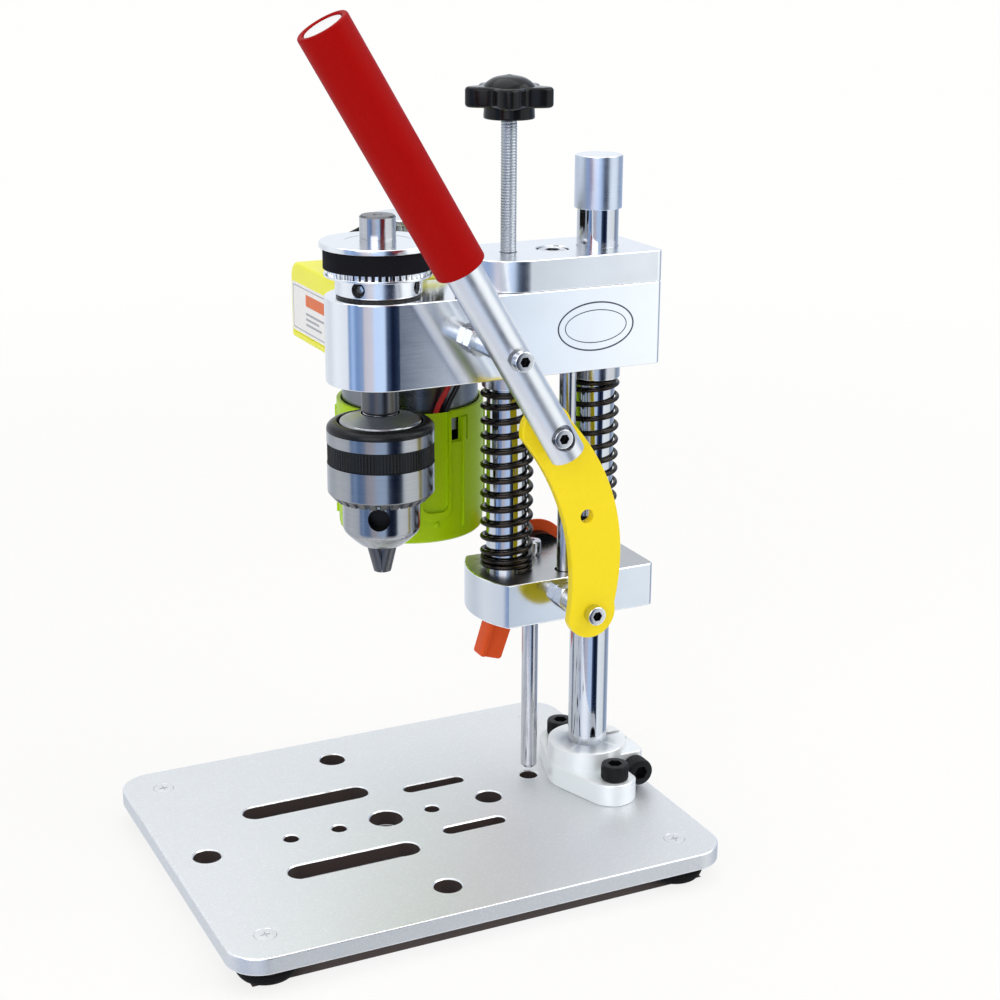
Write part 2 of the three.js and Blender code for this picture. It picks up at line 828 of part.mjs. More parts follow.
function spindlePulley() {
  const bore = spindleRadius + play;
  const drumLow = pulleyRimBottom + pulleyRimHeight / 2;
  const drumHigh = pulleyTop - pulleyFlangeHeight / 2;
  const drum = toothedDrum(pulleyTeeth, toothTipRadius, drumLow, drumHigh);
  const hub = rod(pulleyHubRadius, pulleyBottom, pulleyTop);
  const rim = rod(pulleyRimRadius, pulleyRimBottom, pulleyRimBottom + pulleyRimHeight, fineFacets);
  const flange = rod(pulleyFlangeRadius, pulleyFlangeBottom, pulleyTop, fineFacets);
  const cuts = [rod(bore, pulleyBottom - overrun, pulleyTop + overrun)];
  const screwEnd = pulleyHubRadius - setScrewSink;
  for (const turn of setScrewTurns) {
    cuts.push(radialHole(setScrewRadius, screwEnd, pulleyHubRadius + overrun, setScrewZ, turn));
    cuts.push(radialHole(setScrewSocket, screwEnd - setScrewSink, pulleyHubRadius, setScrewZ, turn));
  }
  return shaped(hub, [rim, drum, flange], cuts).translate(0, spindleY, 0);
}

function spindleWasher() {
  return ring(spindleRadius + play, washerRadius, headTop, headTop + washerHeight).translate(0, spindleY, 0);
}

function motorPulley() {
  const drumLow = pulleyFlangeBottom - beltHeight - play * 2 - pulleyRimHeight;
  const drumHigh = pulleyTop - pulleyFlangeHeight / 2;
  const drum = toothedDrum(motorPulleyTeeth, motorToothTip, drumLow, drumHigh);
  const flange = rod(motorPulleyFlangeRadius, pulleyFlangeBottom, pulleyTop);
  const rim = rod(motorPulleyFlangeRadius, drumLow - pulleyRimHeight, drumLow + pulleyRimHeight / 2);
  const hubLow = housingTop + play;
  const hub = rod(motorPulleyHubRadius, hubLow, pulleyTop);
  const bore = rod(motorShaftRadius + play, hubLow - overrun, pulleyTop + overrun, smallFacets);
  return shaped(hub, [drum, flange, rim], [bore]).translate(motorX, motorY, 0);
}

// Belt outline at a distance outside the tooth tips: two arcs joined by the outer tangents.
function beltPath(path, offset) {
  const large = toothTipRadius + offset;
  const small = motorToothTip + offset;
  const spread = Math.acos((large - small) / beltCentre);
  const from = beltLine + spread;
  const to = beltLine - spread + Math.PI * 2;
  path.absarc(0, spindleY, large, from, to, false);
  path.absarc(motorX, motorY, small, to, from + Math.PI * 2, false);
  path.closePath();
  return path;
}

function driveBelt() {
  const shape = beltPath(new THREE.Shape(), play + beltThickness);
  shape.holes.push(beltPath(new THREE.Path(), play));
  const top = pulleyFlangeBottom - play;
  return slab(shape, top - beltHeight, top);
}

// Moves a form built along Z onto the slanted axis of one jaw.
function jawAxisPlace(geometry, index) {
  const turn = keyHoleTurn + ((index * 2 + 1) * 180) / jawCount;
  geometry.rotateY(THREE.MathUtils.degToRad(jawTilt)).translate(jawOffset, 0, jawTip);
  return geometry.rotateZ(THREE.MathUtils.degToRad(turn)).translate(0, spindleY, 0);
}

// Chuck body with its jaw bores, its key holes and the socket for the spindle.
function chuckBody() {
  const body = turned([
    [0, noseBottom],
    [noseRadius - noseEdge, noseBottom],
    [noseRadius, noseBottom + noseEdge],
    [chuckBodyRadius, chuckTaperTop],
    [chuckBodyRadius, sleeveShoulder],
    [chuckConeRadius, sleeveShoulder + play * 2],
    [chuckConeRadius, chuckConeFoot],
    [spindleShoulderRadius + play, chuckTop],
    [0, chuckTop],
  ], fineFacets).translate(0, spindleY, 0);
  const socketLow = chuckBoreTop + overrun;
  const socket = turned([
    [0, socketLow],
    [spindleRadius - spindleTaper + play, socketLow],
    [spindleRadius + play, chuckTop + overrun],
    [0, chuckTop + overrun],
  ]).translate(0, spindleY, 0);
  const cuts = [socket, rod(noseBoreRadius, noseBottom - overrun, chuckBoreTop).translate(0, spindleY, 0)];
  const boreLength = (chuckBoreTop - jawTip) / Math.cos(THREE.MathUtils.degToRad(jawTilt));
  const floor = chuckBodyRadius - keyHoleDepth;
  for (let index = 0; index < jawCount; index += 1) {
    const turn = keyHoleTurn + (index * 360) / jawCount;
    const key = radialHole(keyHoleRadius, floor, chuckBodyRadius + overrun, keyHoleHeight, turn);
    cuts.push(key.translate(0, spindleY, 0));
    cuts.push(jawAxisPlace(rod(jawRadius + play, 0, boreLength, smallFacets), index));
  }
  return shaped(body, [], cuts);
}

// Jaw: a slanted pin whose inner side is ground to two flats that meet on the chuck's axis.
function jaw(index) {
  const tilt = THREE.MathUtils.degToRad(jawTilt);
  const length = (jawTop - jawTip) / Math.cos(tilt);
  const pin = rod(jawRadius, -jawRadius, length, smallFacets);
  pin.rotateY(tilt).translate(jawOffset, 0, jawTip);
  const wide = chuckBodyRadius;
  const half = THREE.MathUtils.degToRad(180 / jawCount);
  const apex = jawParting / Math.sin(half);
  const wedge = new THREE.Shape();
  wedge.moveTo(apex, 0);
  wedge.lineTo(apex + wide * Math.cos(half), -wide * Math.sin(half));
  wedge.lineTo(wide, -wide * Math.sin(half));
  wedge.lineTo(wide, wide * Math.sin(half));
  wedge.lineTo(apex + wide * Math.cos(half), wide * Math.sin(half));
  wedge.closePath();
  const keep = slab(wedge, jawTip, jawTop + jawRadius);
  const body = toGeometry(solid(pin).intersect(solid(keep)));
  const turn = keyHoleTurn + ((index * 2 + 1) * 180) / jawCount;
  return body.rotateZ(THREE.MathUtils.degToRad(turn)).translate(0, spindleY, 0);
}

// Chuck sleeve: a bored ring with bevel teeth for the key round its lower edge.
function chuckSleeve() {
  const bore = chuckBodyRadius + play;
  const body = turned([
    [bore, sleeveBottom],
    [sleeveBevelRadius, sleeveBottom],
    [sleeveRadius, sleeveBevel],
    [sleeveRadius, sleeveShoulder],
    [sleeveChamferRadius, chuckConeFoot - play],
    [chuckConeRadius + play, chuckConeFoot - play],
    [chuckConeRadius + play, sleeveShoulder],
    [bore, sleeveShoulder - play * 2],
    [bore, sleeveBottom],
  ], fineFacets).translate(0, spindleY, 0);
  const cuts = [];
  const pitch = (Math.PI * 2 * sleeveBevelRadius) / sleeveTeeth;
  const half = (pitch * sleeveToothShare) / 2;
  for (let tooth = 0; tooth < sleeveTeeth; tooth += 1) {
    const notch = new THREE.Shape();
    notch.moveTo(-half, -overrun);
    notch.lineTo(half, -overrun);
    notch.lineTo(half * sleeveToothShare, sleeveToothDepth);
    notch.lineTo(-half * sleeveToothShare, sleeveToothDepth);
    notch.closePath();
    const cutter = alongX(slab(notch, bore - overrun, sleeveRadius + overrun));
    cutter.translate(0, 0, sleeveBottom).rotateZ((tooth / sleeveTeeth) * Math.PI * 2);
    cuts.push(cutter.translate(0, spindleY, 0));
  }
  return shaped(body, [], cuts);
}

function motorBody() {
  const neckTop = motorTop + motorNeckHeight;
  const body = turned([
    [0, motorBottom],
    [motorRadius - motorEdge, motorBottom],
    [motorRadius, motorBottom + motorEdge],
    [motorRadius, motorTop - motorEdge],
    [motorRadius - motorEdge, motorTop],
    [motorNeckRadius, motorTop],
    [motorNeckRadius, neckTop],
    [0, neckTop],
  ]);
  const bore = rod(motorShaftRadius + play, motorTop - motorBoreDepth, neckTop + overrun, smallFacets);
  return shaped(body, [], [bore]).translate(motorX, motorY, 0);
}

function motorShaft() {
  const low = motorTop - motorBoreDepth + play;
  return shaft(motorShaftRadius, low, pulleyTop, shaftChamfer, smallFacets).translate(motorX, motorY, 0);
}

// Motor cover: a tapered open cup with outer ribs, a window and vent holes in its floor.
function motorCover() {
  const inner = coverOuterRadius - coverWall;
  const cup = turned([
    [0, coverBottom],
    [coverOuterRadius - coverWall, coverBottom],
    [coverOuterRadius, coverBottom + coverWall],
    [coverOuterRadius, coverTop],
    [inner, coverTop],
    [inner, coverBottom + coverFloor],
    [0, coverBottom + coverFloor],
  ], fineFacets);
  const ribs = [];
  const cuts = [];
  for (let index = 0; index < coverRibCount; index += 1) {
    const turn = ((index * 2 + 1) / coverRibCount) * Math.PI;
    const high = coverTop - coverWall;
    const low = coverBottom + coverWall * 2;
    const ribEnd = coverOuterRadius + coverRibHeight;
    const rib = box(inner + play, ribEnd, -coverRibWidth / 2, coverRibWidth / 2, low, high);
    ribs.push(rib.rotateZ(turn));
    const vent = rod(coverVentRadius, coverBottom - overrun, coverBottom + coverFloor + overrun, smallFacets);
    cuts.push(vent.translate(coverVentReach, 0, 0).rotateZ(turn));
  }
  const far = coverOuterRadius + overrun * 2;
  const half = coverWindowWidth / 2;
  const window = box(inner - overrun, far, -half, half, coverWindowBottom, coverWindowTop);
  cuts.push(window.rotateZ(THREE.MathUtils.degToRad(coverWindowTurn)));
  return shaped(cup, ribs, cuts).translate(motorX, motorY, 0);
}

// Housing: a box with rounded upper edges, open to the motor shaft, the socket and the speed control.
function housing() {
  const right = -blockHalfWidth;
  const halfHeight = (housingTop - housingBottom) / 2;
  const halfWidth = (right - housingLeft) / 2;
  const shape = new THREE.Shape();
  shape.moveTo(-halfWidth, -halfHeight);
  shape.lineTo(halfWidth, -halfHeight);
  shape.lineTo(halfWidth, halfHeight);
  const roundX = housingRound - halfWidth;
  const roundZ = halfHeight - housingRound;
  shape.absarc(roundX, roundZ, housingRound, Math.PI / 2, Math.PI, false);
  shape.closePath();
  const options = { depth: housingRear - housingFront, bevelEnabled: false, curveSegments: arcSteps };
  const body = new THREE.ExtrudeGeometry(shape, options).rotateX(Math.PI / 2);
  body.translate((right + housingLeft) / 2, housingRear, (housingTop + housingBottom) / 2);
  const shaftBore = rod(motorNeckRadius + play, housingBottom - overrun, housingTop + overrun);
  const socketCut = alongX(rod(socketRadius + play, housingLeft - overrun, housingLeft + socketDepth + play));
  const stemBore = rod(knobShaftRadius + play, housingRear - knobHeight, housingRear + overrun, smallFacets);
  const cuts = [
    shaftBore.translate(motorX, motorY, 0),
    socketCut.translate(0, socketY, controlHeight),
    alongY(stemBore).translate(motorX, 0, controlHeight),
  ];
  const holeTop = housingBottom + housingWall * 2;
  for (const share of leadShares) {
    const place = leadPoint(share, leadReach, 0);
    const hole = rod(leadRadius + play, housingBottom - overrun, holeTop, smallFacets);
    cuts.push(hole.translate(place.x, place.y, 0));
  }
  return shaped(body, [], cuts);
}

function powerSocket() {
  const start = housingLeft - socketRim;
  const end = housingLeft + socketDepth;
  const rim = ring(socketBore, socketRadius + socketRim, start, housingLeft, smallFacets);
  const barrel = rod(socketRadius, housingLeft - socketRim / 2, end, smallFacets);
  const bore = rod(socketBore, start - overrun, end - socketRim, smallFacets);
  const pin = rod(socketPinRadius, housingLeft, end - socketRim / 2, smallFacets);
  const body = solid(rim).add(solid(barrel)).subtract(solid(bore)).add(solid(pin));
  return alongX(toGeometry(body)).translate(0, socketY, controlHeight);
}

function speedKnob() {
  const low = housingRear + play;
  const knob = turned([
    [0, low],
    [knobRadius, low],
    [knobRadius - knobEdge, low + knobHeight - knobEdge],
    [knobRadius - knobEdge * 2, low + knobHeight],
    [0, low + knobHeight],
  ]);
  const stem = rod(knobShaftRadius, housingRear - knobHeight + play, low + overrun, smallFacets);
  return alongY(shaped(knob, [stem])).translate(motorX, 0, controlHeight);
}

// Leads run down from the housing, outside the cover's edge, and in through the cover's window.
function leadPoint(share, radius, z) {
  const turn = THREE.MathUtils.degToRad(coverWindowTurn) + (share * leadSpacing) / leadReach;
  return new THREE.Vector3(motorX + radius * Math.cos(turn), motorY + radius * Math.sin(turn), z);
}

function lead(share) {
  const out = leadReach + coverWall;
  const low = (coverWindowTop + coverWindowBottom) / 2;
  const route = new THREE.CatmullRomCurve3([
    leadPoint(share, leadReach, housingBottom + housingWall),
    leadPoint(share, leadReach, housingBottom - housingWall),
    leadPoint(share, out, (housingBottom + coverTop) / 2),
    leadPoint(share, out, coverTop),
    leadPoint(share, out, coverWindowTop),
    leadPoint(share, leadReach, low),
    leadPoint(share, motorRadius + leadRadius + play, low),
  ]);
  const section = new THREE.Shape().absarc(0, 0, leadRadius, 0, Math.PI * 2, false);
  const options = { extrudePath: route, steps: leadSteps, curveSegments: leadSides, bevelEnabled: false };
  return new THREE.ExtrudeGeometry(section, options);
}

function depthScrew() {
  const top = starBottom + starSocketDepth - play;
  return shaft(depthScrewRadius, headTop, top, shaftChamfer, smallFacets).translate(0, guideY, 0);
}

// Star knob: five lobes round a hub with a domed cap.
function starKnob() {
  const outline = new THREE.Shape();
  const steps = starLobes * starLobeSteps;
  for (let step = 0; step < steps; step += 1) {
    const angle = (step / steps) * Math.PI * 2;
    const radius = starRadius + starLobe * Math.cos(starLobes * angle);
    const x = radius * Math.cos(angle);
    const y = radius * Math.sin(angle);
    if (step === 0) outline.moveTo(x, y);
    else outline.lineTo(x, y);
  }
  outline.closePath();
  const star = slab(outline, starBottom, starTop);
  const hub = rod(starHubRadius, knobBottom, starTop);
  const dome = turned([
    [0, starTop - overrun],
    [starHubRadius, starTop - overrun],
    [starHubRadius, starTop + play],
    [starDomeRadius, (starTop + starDomeTop) / 2],
    [starDomeRadius / 2, starDomeTop - play],
    [0, starDomeTop],
  ]);
  const bore = rod(depthScrewRadius + play, knobBottom - overrun, starBottom + starSocketDepth, smallFacets);
  return shaped(star, [hub, dome], [bore]).translate(0, guideY, 0);
}

// Lever: built along Z from its pivot, then leaned about the pivot and set at its distance from the head.
function leanedLever(geometry) {
  return geometry.rotateX(leverLean).translate(leverX, leverPivotY, leverPivotZ);
}

function leverRod() {
  const low = -leverArm - leverTail;
  const high = gripStart + gripLength - leverTopGap;
  const body = rod(leverRadius, low, high);
  const pivot = alongX(rod(pinRadius + play, -leverRadius - overrun, leverRadius + overrun, smallFacets));
  const cuts = [pivot];
  const slot = (half, from, to) => {
    const path = slotPath(new THREE.Shape(), 0, joinSlot / 2 - leverArm, joinSlot + half * 2, half * 2, true);
    return alongX(slab(path, from, to));
  };
  cuts.push(slot(joinSlotHalf, -leverRadius - overrun, leverRadius + overrun));
  cuts.push(slot(joinHeadHalf, joinHeadFloor - leverX, leverRadius + overrun));
  return leanedLever(shaped(body, [], cuts));
}

function leverGrip() {
  const high = gripStart + gripLength;
  const inner = leverRadius + play;
  const rim = gripRadius - gripRim;
  const body = turned([
    [inner, gripStart],
    [gripRadius, gripStart],
    [gripRadius, high],
    [rim, high],
    [rim, high - leverTopGap + play],
    [inner, high - leverTopGap + play],
    [inner, gripStart],
  ]);
  return leanedLever(body);
}

function gripPlug() {
  const high = gripStart + gripLength - gripRecess;
  return leanedLever(rod(gripRadius - gripRim - play, high - gripRecess, high));
}

// Screw along X with its head outward.
function pivotScrew(tip, seat, y, z) {
  const sizes = [pinRadius, seat - tip, pinHeadRadius, pinHeadHeight, pinSocketRadius, pinSocketDepth];
  return alongX(socketScrew(...sizes, seat)).translate(0, y, z);
}

function pivotSpacer(end, y, z) {
  const start = blockHalfWidth;
  const nut = rod(nutRadius, start, start + nutHeight, hexSides);
  const tube = rod(spacerRadius, start, end, smallFacets);
  const bore = rod(pinRadius + play, start - overrun, end + overrun, smallFacets);
  return alongX(shaped(tube, [nut], [bore])).translate(0, y, z);
}

// Link: a bowed flat bar between two round ends, with one spare hole.
function linkBar() {
  const ends = [new THREE.Vector2(linkPivotY, linkPivotZ), new THREE.Vector2(joinY, joinZ)];
  const along = ends[1].clone().sub(ends[0]).normalize();
  const across = new THREE.Vector2(along.y, -along.x);
  const beside = (end, by) => end.clone().addScaledVector(across, by);
  const middle = ends[0].clone().lerp(ends[1], 0.5);
  const outer = middle.clone().addScaledVector(across, linkEndRadius + linkOuterBow * 2);
  const inner = middle.clone().addScaledVector(across, linkInnerBow * 2 - linkEndRadius);
  const turn = Math.atan2(along.y, along.x);
  const shape = new THREE.Shape();
  const start = beside(ends[0], linkEndRadius);
  shape.moveTo(start.x, start.y);
  const top = beside(ends[1], linkEndRadius);
  shape.quadraticCurveTo(outer.x, outer.y, top.x, top.y);
  shape.absarc(ends[1].x, ends[1].y, linkEndRadius, turn - Math.PI / 2, turn + Math.PI / 2, false);
  const bottom = beside(ends[0], -linkEndRadius);
  shape.quadraticCurveTo(inner.x, inner.y, bottom.x, bottom.y);
  shape.absarc(ends[0].x, ends[0].y, linkEndRadius, turn + Math.PI / 2, turn + Math.PI * 1.5, false);
  shape.closePath();
  roundHole(shape, linkPivotY, linkPivotZ, pinRadius + play);
  roundHole(shape, joinY, joinZ, pinRadius + play);
  const spare = middle.clone().addScaledVector(across, linkHoleBow);
  roundHole(shape, spare.x, spare.y, linkHoleRadius);
  return alongX(slab(shape, linkInnerX, linkInnerX + linkThickness));
}

function joinScrew() {
  const seat = joinHeadFloor + play;
  const tip = linkInnerX - play - nutHeight;
  const nut = alongX(rod(joinNutRadius, tip + overrun, linkInnerX - play, hexSides));
  const screw = pivotScrew(tip, seat, 0, 0);
  return toGeometry(solid(screw).add(solid(nut))).translate(0, joinY, joinZ);
}

function clampStud() {
  const tip = clampStudDepth - blockHalfWidth;
  const bossStart = -blockHalfWidth - clampBossLength;
  const end = bossStart - clampHubLength + clampHubCap;
  const stud = turned([
    [0, end],
    [clampStudRadius, end],
    [clampStudRadius, bossStart],
    [clampBossRadius, bossStart],
    [clampBossRadius, -blockHalfWidth],
    [clampStudRadius, -blockHalfWidth],
    [clampStudRadius, tip],
    [0, tip],
  ], smallFacets);
  return alongX(stud).translate(0, clampY, clampZ);
}

// Clamp handle: a tapered hub on the stud with a flat arm that hangs down and forward.
function clampHandle() {
  const start = -blockHalfWidth - clampBossLength - play;
  const end = start - clampHubLength;
  const hub = alongX(turned([
    [0, end],
    [clampHubOuterRadius, end],
    [clampHubRadius, start],
    [0, start],
  ]));
  const lean = THREE.MathUtils.degToRad(clampArmLean);
  const arm = new THREE.Shape();
  arm.absarc(0, 0, clampArmHalf, 0, Math.PI, false);
  arm.absarc(0, -clampArmLength + clampArmHalf, clampArmHalf, Math.PI, Math.PI * 2, false);
  arm.closePath();
  const half = clampArmThickness / 2;
  const blade = alongX(slab(arm, clampArmX - half, clampArmX + half)).rotateX(-lean);
  const bore = alongX(rod(clampStudRadius + play, end + clampHubCap - play, start + overrun, smallFacets));
  return shaped(hub, [blade], [bore]).translate(0, clampY, clampZ);
}

// Spring: one unbroken tube of closed end curls and open working curls.
function spring(wire, y, openCurls, label) {
  const thickness = wire / 2;
  const flat = thickness * Math.cos(Math.PI / wireSides);
  const radius = (shaftRadius + springPlay) / Math.cos(Math.PI / curlSteps) + flat;
  const closedPitch = wire + closedGap;
  const climb = bushBottom - lowerBlockTop - wire - play * 2 - closedPitch * closedCurls * 2;
  const openPitch = climb / openCurls;
  const curls = closedCurls * 2 + openCurls;
  const heightAt = (turns) => {
    const first = Math.min(turns, closedCurls);
    const middle = Math.min(Math.max(turns - closedCurls, 0), openCurls);
    const last = Math.max(turns - closedCurls - openCurls, 0);
    const rise = (first + last) * closedPitch + middle * openPitch;
    return lowerBlockTop + play + thickness + rise;
  };
  const rings = [];
  const ringAt = (turns, along) => {
    const angle = turns * Math.PI * 2;
    const outward = new THREE.Vector3(Math.cos(angle), Math.sin(angle), 0);
    const forward = new THREE.Vector3(-Math.sin(angle), Math.cos(angle), 0);
    const points = [];
    for (let side = 0; side < wireSides; side += 1) {
      const phase = (side / wireSides) * Math.PI * 2;
      const point = outward.clone().multiplyScalar(radius + thickness * Math.cos(phase));
      point.addScaledVector(forward, along);
      point.z = heightAt(turns) + thickness * Math.sin(phase);
      points.push(point);
    }
    rings.push(points);
  };
  ringAt(0, -wire);
  for (let step = 0; step <= curls * curlSteps; step += 1) ringAt(step / curlSteps, 0);
  ringAt(curls, wire);
  let leastGap = Infinity;
  for (let i = 0; i < rings.length; i += 1) {
    for (let j = i + curlSteps - 1; j < rings.length; j += 1) {
      for (const p of rings[i]) for (const q of rings[j]) leastGap = Math.min(leastGap, p.distanceTo(q));
    }
  }
  console.log(`${label}: least gap to itself ${leastGap.toFixed(2)} mm`);
  const positions = rings.flat().flatMap((p) => [p.x, p.y, p.z]);
  const faces = [];
  for (let i = 0; i + 1 < rings.length; i += 1) {
    for (let side = 0; side < wireSides; side += 1) {
      const next = (side + 1) % wireSides;
      const a = i * wireSides + side;
      const b = i * wireSides + next;
      const c = a + wireSides;
      const d = b + wireSides;
      faces.push(a, c, b, b, c, d);
    }
  }
  const lastRing = (rings.length - 1) * wireSides;
  for (let side = 1; side + 1 < wireSides; side += 1) {
    faces.push(0, side, side + 1);
    faces.push(lastRing, lastRing + side + 1, lastRing + side);
  }
  const geometry = new THREE.BufferGeometry();
  geometry.setAttribute('position', new THREE.Float32BufferAttribute(positions, 3));
  geometry.setIndex(faces);
  return toGeometry(solid(geometry)).translate(0, y, 0);
}

function buildTable() {
  addPiece('base_plate', basePlate(), 'plate');
  footPlaces().forEach(([x, y], index) => {
    addPiece(`foot_${index + 1}`, foot().translate(x, y, 0), 'rubber');
    addPiece(`foot_screw_${index + 1}`, footScrew().translate(x, y, 0), 'steel');
  });
  addPiece('column_flange', columnFlange(), 'aluminium');
  addPiece('flange_bolt_1', flangeBolt().translate(-flangeBoltReach, 0, 0), 'blackScrew');
  addPiece('flange_bolt_2', flangeBolt().translate(flangeBoltReach, 0, 0), 'blackScrew');
  addPiece('flange_clamp_screw', flangeClampScrew(), 'blackScrew');
  const columnTop = capBottom + capHeight - capWall - play;
  addPiece('column', shaft(shaftRadius, 0, columnTop, shaftChamfer).translate(0, columnY, 0), 'steel');
  addPiece('column_cap', columnCap().translate(0, columnY, 0), 'aluminium');
}

function buildBracket() {
  addPiece('lower_block', lowerBlock(), 'aluminium');
  const shaftLow = lowerBlockBottom + shaftChamfer;
  const guide = shaft(shaftRadius, shaftLow, guideTop, shaftChamfer).translate(0, guideY, 0);
  addPiece('guide_shaft', guide, 'steel');
  addPiece('lower_rod', lowerRod(), 'steel');
  addPiece('clamp_stud', clampStud(), 'blackScrew');
  addPiece('clamp_handle', clampHandle(), 'orange');
  const linkOuterX = linkInnerX + linkThickness;
  const pivotTip = blockHalfWidth - pinDepth;
  addPiece('link_pivot_screw', pivotScrew(pivotTip, linkOuterX + play, linkPivotY, linkPivotZ), 'steel');
  addPiece('link_spacer', pivotSpacer(linkInnerX - play, linkPivotY, linkPivotZ), 'steel');
  addPiece('front_spring', spring(frontWire, guideY, frontCurls, 'Front spring'), 'darkSteel');
  addPiece('rear_spring', spring(rearWire, columnY, rearCurls, 'Rear spring'), 'darkSteel');
}

function buildHead() {
  addPiece('head_block', headBlock(), 'aluminium');
  addPiece('top_plate', topPlate(), 'aluminium');
  addPiece('top_plate_screw', topPlateScrew(), 'steel');
  addPiece('front_bush', bush(guideY), 'steel');
  addPiece('rear_bush', bush(columnY), 'steel');
  const rodTop = headBottom + guideRodDepth;
  const thinRod = shaft(thinRodRadius, guideRodEnd, rodTop, shaftChamfer, smallFacets);
  addPiece('guide_rod', thinRod.translate(guideRodX, guideRodY, 0), 'steel');
  addPiece('lower_bearing', bearing(headBottom + play / 2), 'steel');
  addPiece('upper_bearing', bearing(headTop - bearingHeight - play / 2), 'steel');
  addPiece('spindle_washer', spindleWasher(), 'rubber');
  addPiece('depth_screw', depthScrew(), 'steel');
  addPiece('star_knob', starKnob(), 'blackPlastic');
}

function buildDrive() {
  addPiece('spindle', spindle(), 'steel');
  addPiece('spindle_pulley', spindlePulley(), 'aluminium');
  addPiece('drive_belt', driveBelt(), 'rubber');
  addPiece('motor_pulley', motorPulley(), 'aluminium');
  addPiece('motor_shaft', motorShaft(), 'steel');
  addPiece('motor_body', motorBody(), 'motorSteel');
  addPiece('motor_cover', motorCover(), 'lime');
  addPiece('housing', housing(), 'housing');
  addPiece('power_socket', powerSocket(), 'blackPlastic');
  addPiece('speed_knob', speedKnob(), 'blackPlastic');
  addPiece('red_lead', lead(leadShares[0]), 'redWire');
  addPiece('black_lead', lead(leadShares[1]), 'rubber');
  addPiece('chuck_body', chuckBody(), 'steel');
  addPiece('chuck_sleeve', chuckSleeve(), 'steel');
  for (let index = 0; index < jawCount; index += 1) {
    addPiece(`jaw_${index + 1}`, jaw(index), 'steel');
  }
}

function buildLever() {
  addPiece('lever_rod', leverRod(), 'aluminium');
  addPiece('lever_grip', leverGrip(), 'red');
  addPiece('grip_plug', gripPlug(), 'white');
  const leverInner = leverX - leverRadius;
  const leverOuter = leverX + leverRadius;
  const tip = blockHalfWidth - leverPinDepth;
  addPiece('lever_pivot_screw', pivotScrew(tip, leverOuter + play, leverPivotY, leverPivotZ), 'steel');
  addPiece('lever_spacer', pivotSpacer(leverInner - play, leverPivotY, leverPivotZ), 'steel');
  addPiece('link', linkBar(), 'yellow');
  addPiece('link_screw', joinScrew(), 'steel');
}

buildTable();
buildBracket();
buildHead();
buildDrive();
buildLever();

export default machine;
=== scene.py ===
import math

import bmesh
import bpy
from mathutils import Matrix, Vector


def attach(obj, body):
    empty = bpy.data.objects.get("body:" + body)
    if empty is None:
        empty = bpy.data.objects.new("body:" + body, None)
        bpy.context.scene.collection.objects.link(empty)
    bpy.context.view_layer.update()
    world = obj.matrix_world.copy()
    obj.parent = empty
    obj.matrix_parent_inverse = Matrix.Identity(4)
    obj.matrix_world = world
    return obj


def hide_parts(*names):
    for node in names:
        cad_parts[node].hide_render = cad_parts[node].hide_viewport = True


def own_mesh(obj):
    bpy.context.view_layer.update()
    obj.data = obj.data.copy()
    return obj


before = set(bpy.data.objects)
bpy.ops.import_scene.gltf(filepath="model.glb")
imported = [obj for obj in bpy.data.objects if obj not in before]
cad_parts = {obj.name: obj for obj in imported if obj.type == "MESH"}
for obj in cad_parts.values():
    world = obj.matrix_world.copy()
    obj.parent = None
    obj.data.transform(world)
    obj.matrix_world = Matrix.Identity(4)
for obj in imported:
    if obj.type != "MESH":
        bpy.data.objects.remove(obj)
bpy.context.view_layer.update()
print("frame: model loaded")

# Sizes in this file are millimetres, with heights from the top of the table plate.
mm = 0.001
plateTop = 11
spindleY = -8.5
guideY = 31
columnY = 59.5
motorPlace = (-38, 16.7)
lowerRodPlace = (-8.6, 43.5)
guideRodPlace = (8.3, 46.3)


# node trees
def feed(tree, socket, value):
    # A value that comes from another node is linked, any other is set.
    if isinstance(value, bpy.types.NodeSocket):
        tree.links.new(value, socket)
    else:
        socket.default_value = value


def addNode(tree, kind, values=None, **fields):
    node = tree.nodes.new(kind)
    for name, value in fields.items():
        setattr(node, name, value)
    for name, value in (values or {}).items():
        feed(tree, node.inputs[name], value)
    return node


def mathNode(tree, operation, *values, clamp=False):
    fields = {"operation": operation, "use_clamp": clamp}
    return addNode(tree, "ShaderNodeMath", dict(enumerate(values)), **fields).outputs[0]


def vectorNode(tree, operation, *values):
    node = addNode(tree, "ShaderNodeVectorMath", dict(enumerate(values)), operation=operation)
    return node.outputs["Value" if operation == "LENGTH" else "Vector"]


def splitNode(tree, vector):
    return addNode(tree, "ShaderNodeSeparateXYZ", {"Vector": vector}).outputs


def joinNode(tree, **values):
    return addNode(tree, "ShaderNodeCombineXYZ", values).outputs[0]


def noiseNode(tree, vector, scale, detail, roughness=0.5):
    values = {"Vector": vector, "Scale": scale, "Detail": detail, "Roughness": roughness}
    return addNode(tree, "ShaderNodeTexNoise", values).outputs[0]


def rangeNode(tree, value, fromLow, fromHigh, toLow=0.0, toHigh=1.0):
    values = {
        "Value": value, "From Min": fromLow, "From Max": fromHigh,
        "To Min": toLow, "To Max": toHigh,
    }
    return addNode(tree, "ShaderNodeMapRange", values)


def newTree(name, kind, inputs, outputs):
    tree = bpy.data.node_groups.new(name, kind)
    for label, socketType, default in inputs:
        socket = tree.interface.new_socket(name=label, in_out="INPUT", socket_type=socketType)
        if default is not None:
            socket.default_value = default
    for label, socketType in outputs:
        tree.interface.new_socket(name=label, in_out="OUTPUT", socket_type=socketType)
    return tree, tree.nodes.new("NodeGroupInput").outputs, tree.nodes.new("NodeGroupOutput").inputs


decimal = "NodeSocketFloat"
whole = "NodeSocketInt"
triple = "NodeSocketVector"
geometry = "NodeSocketGeometry"


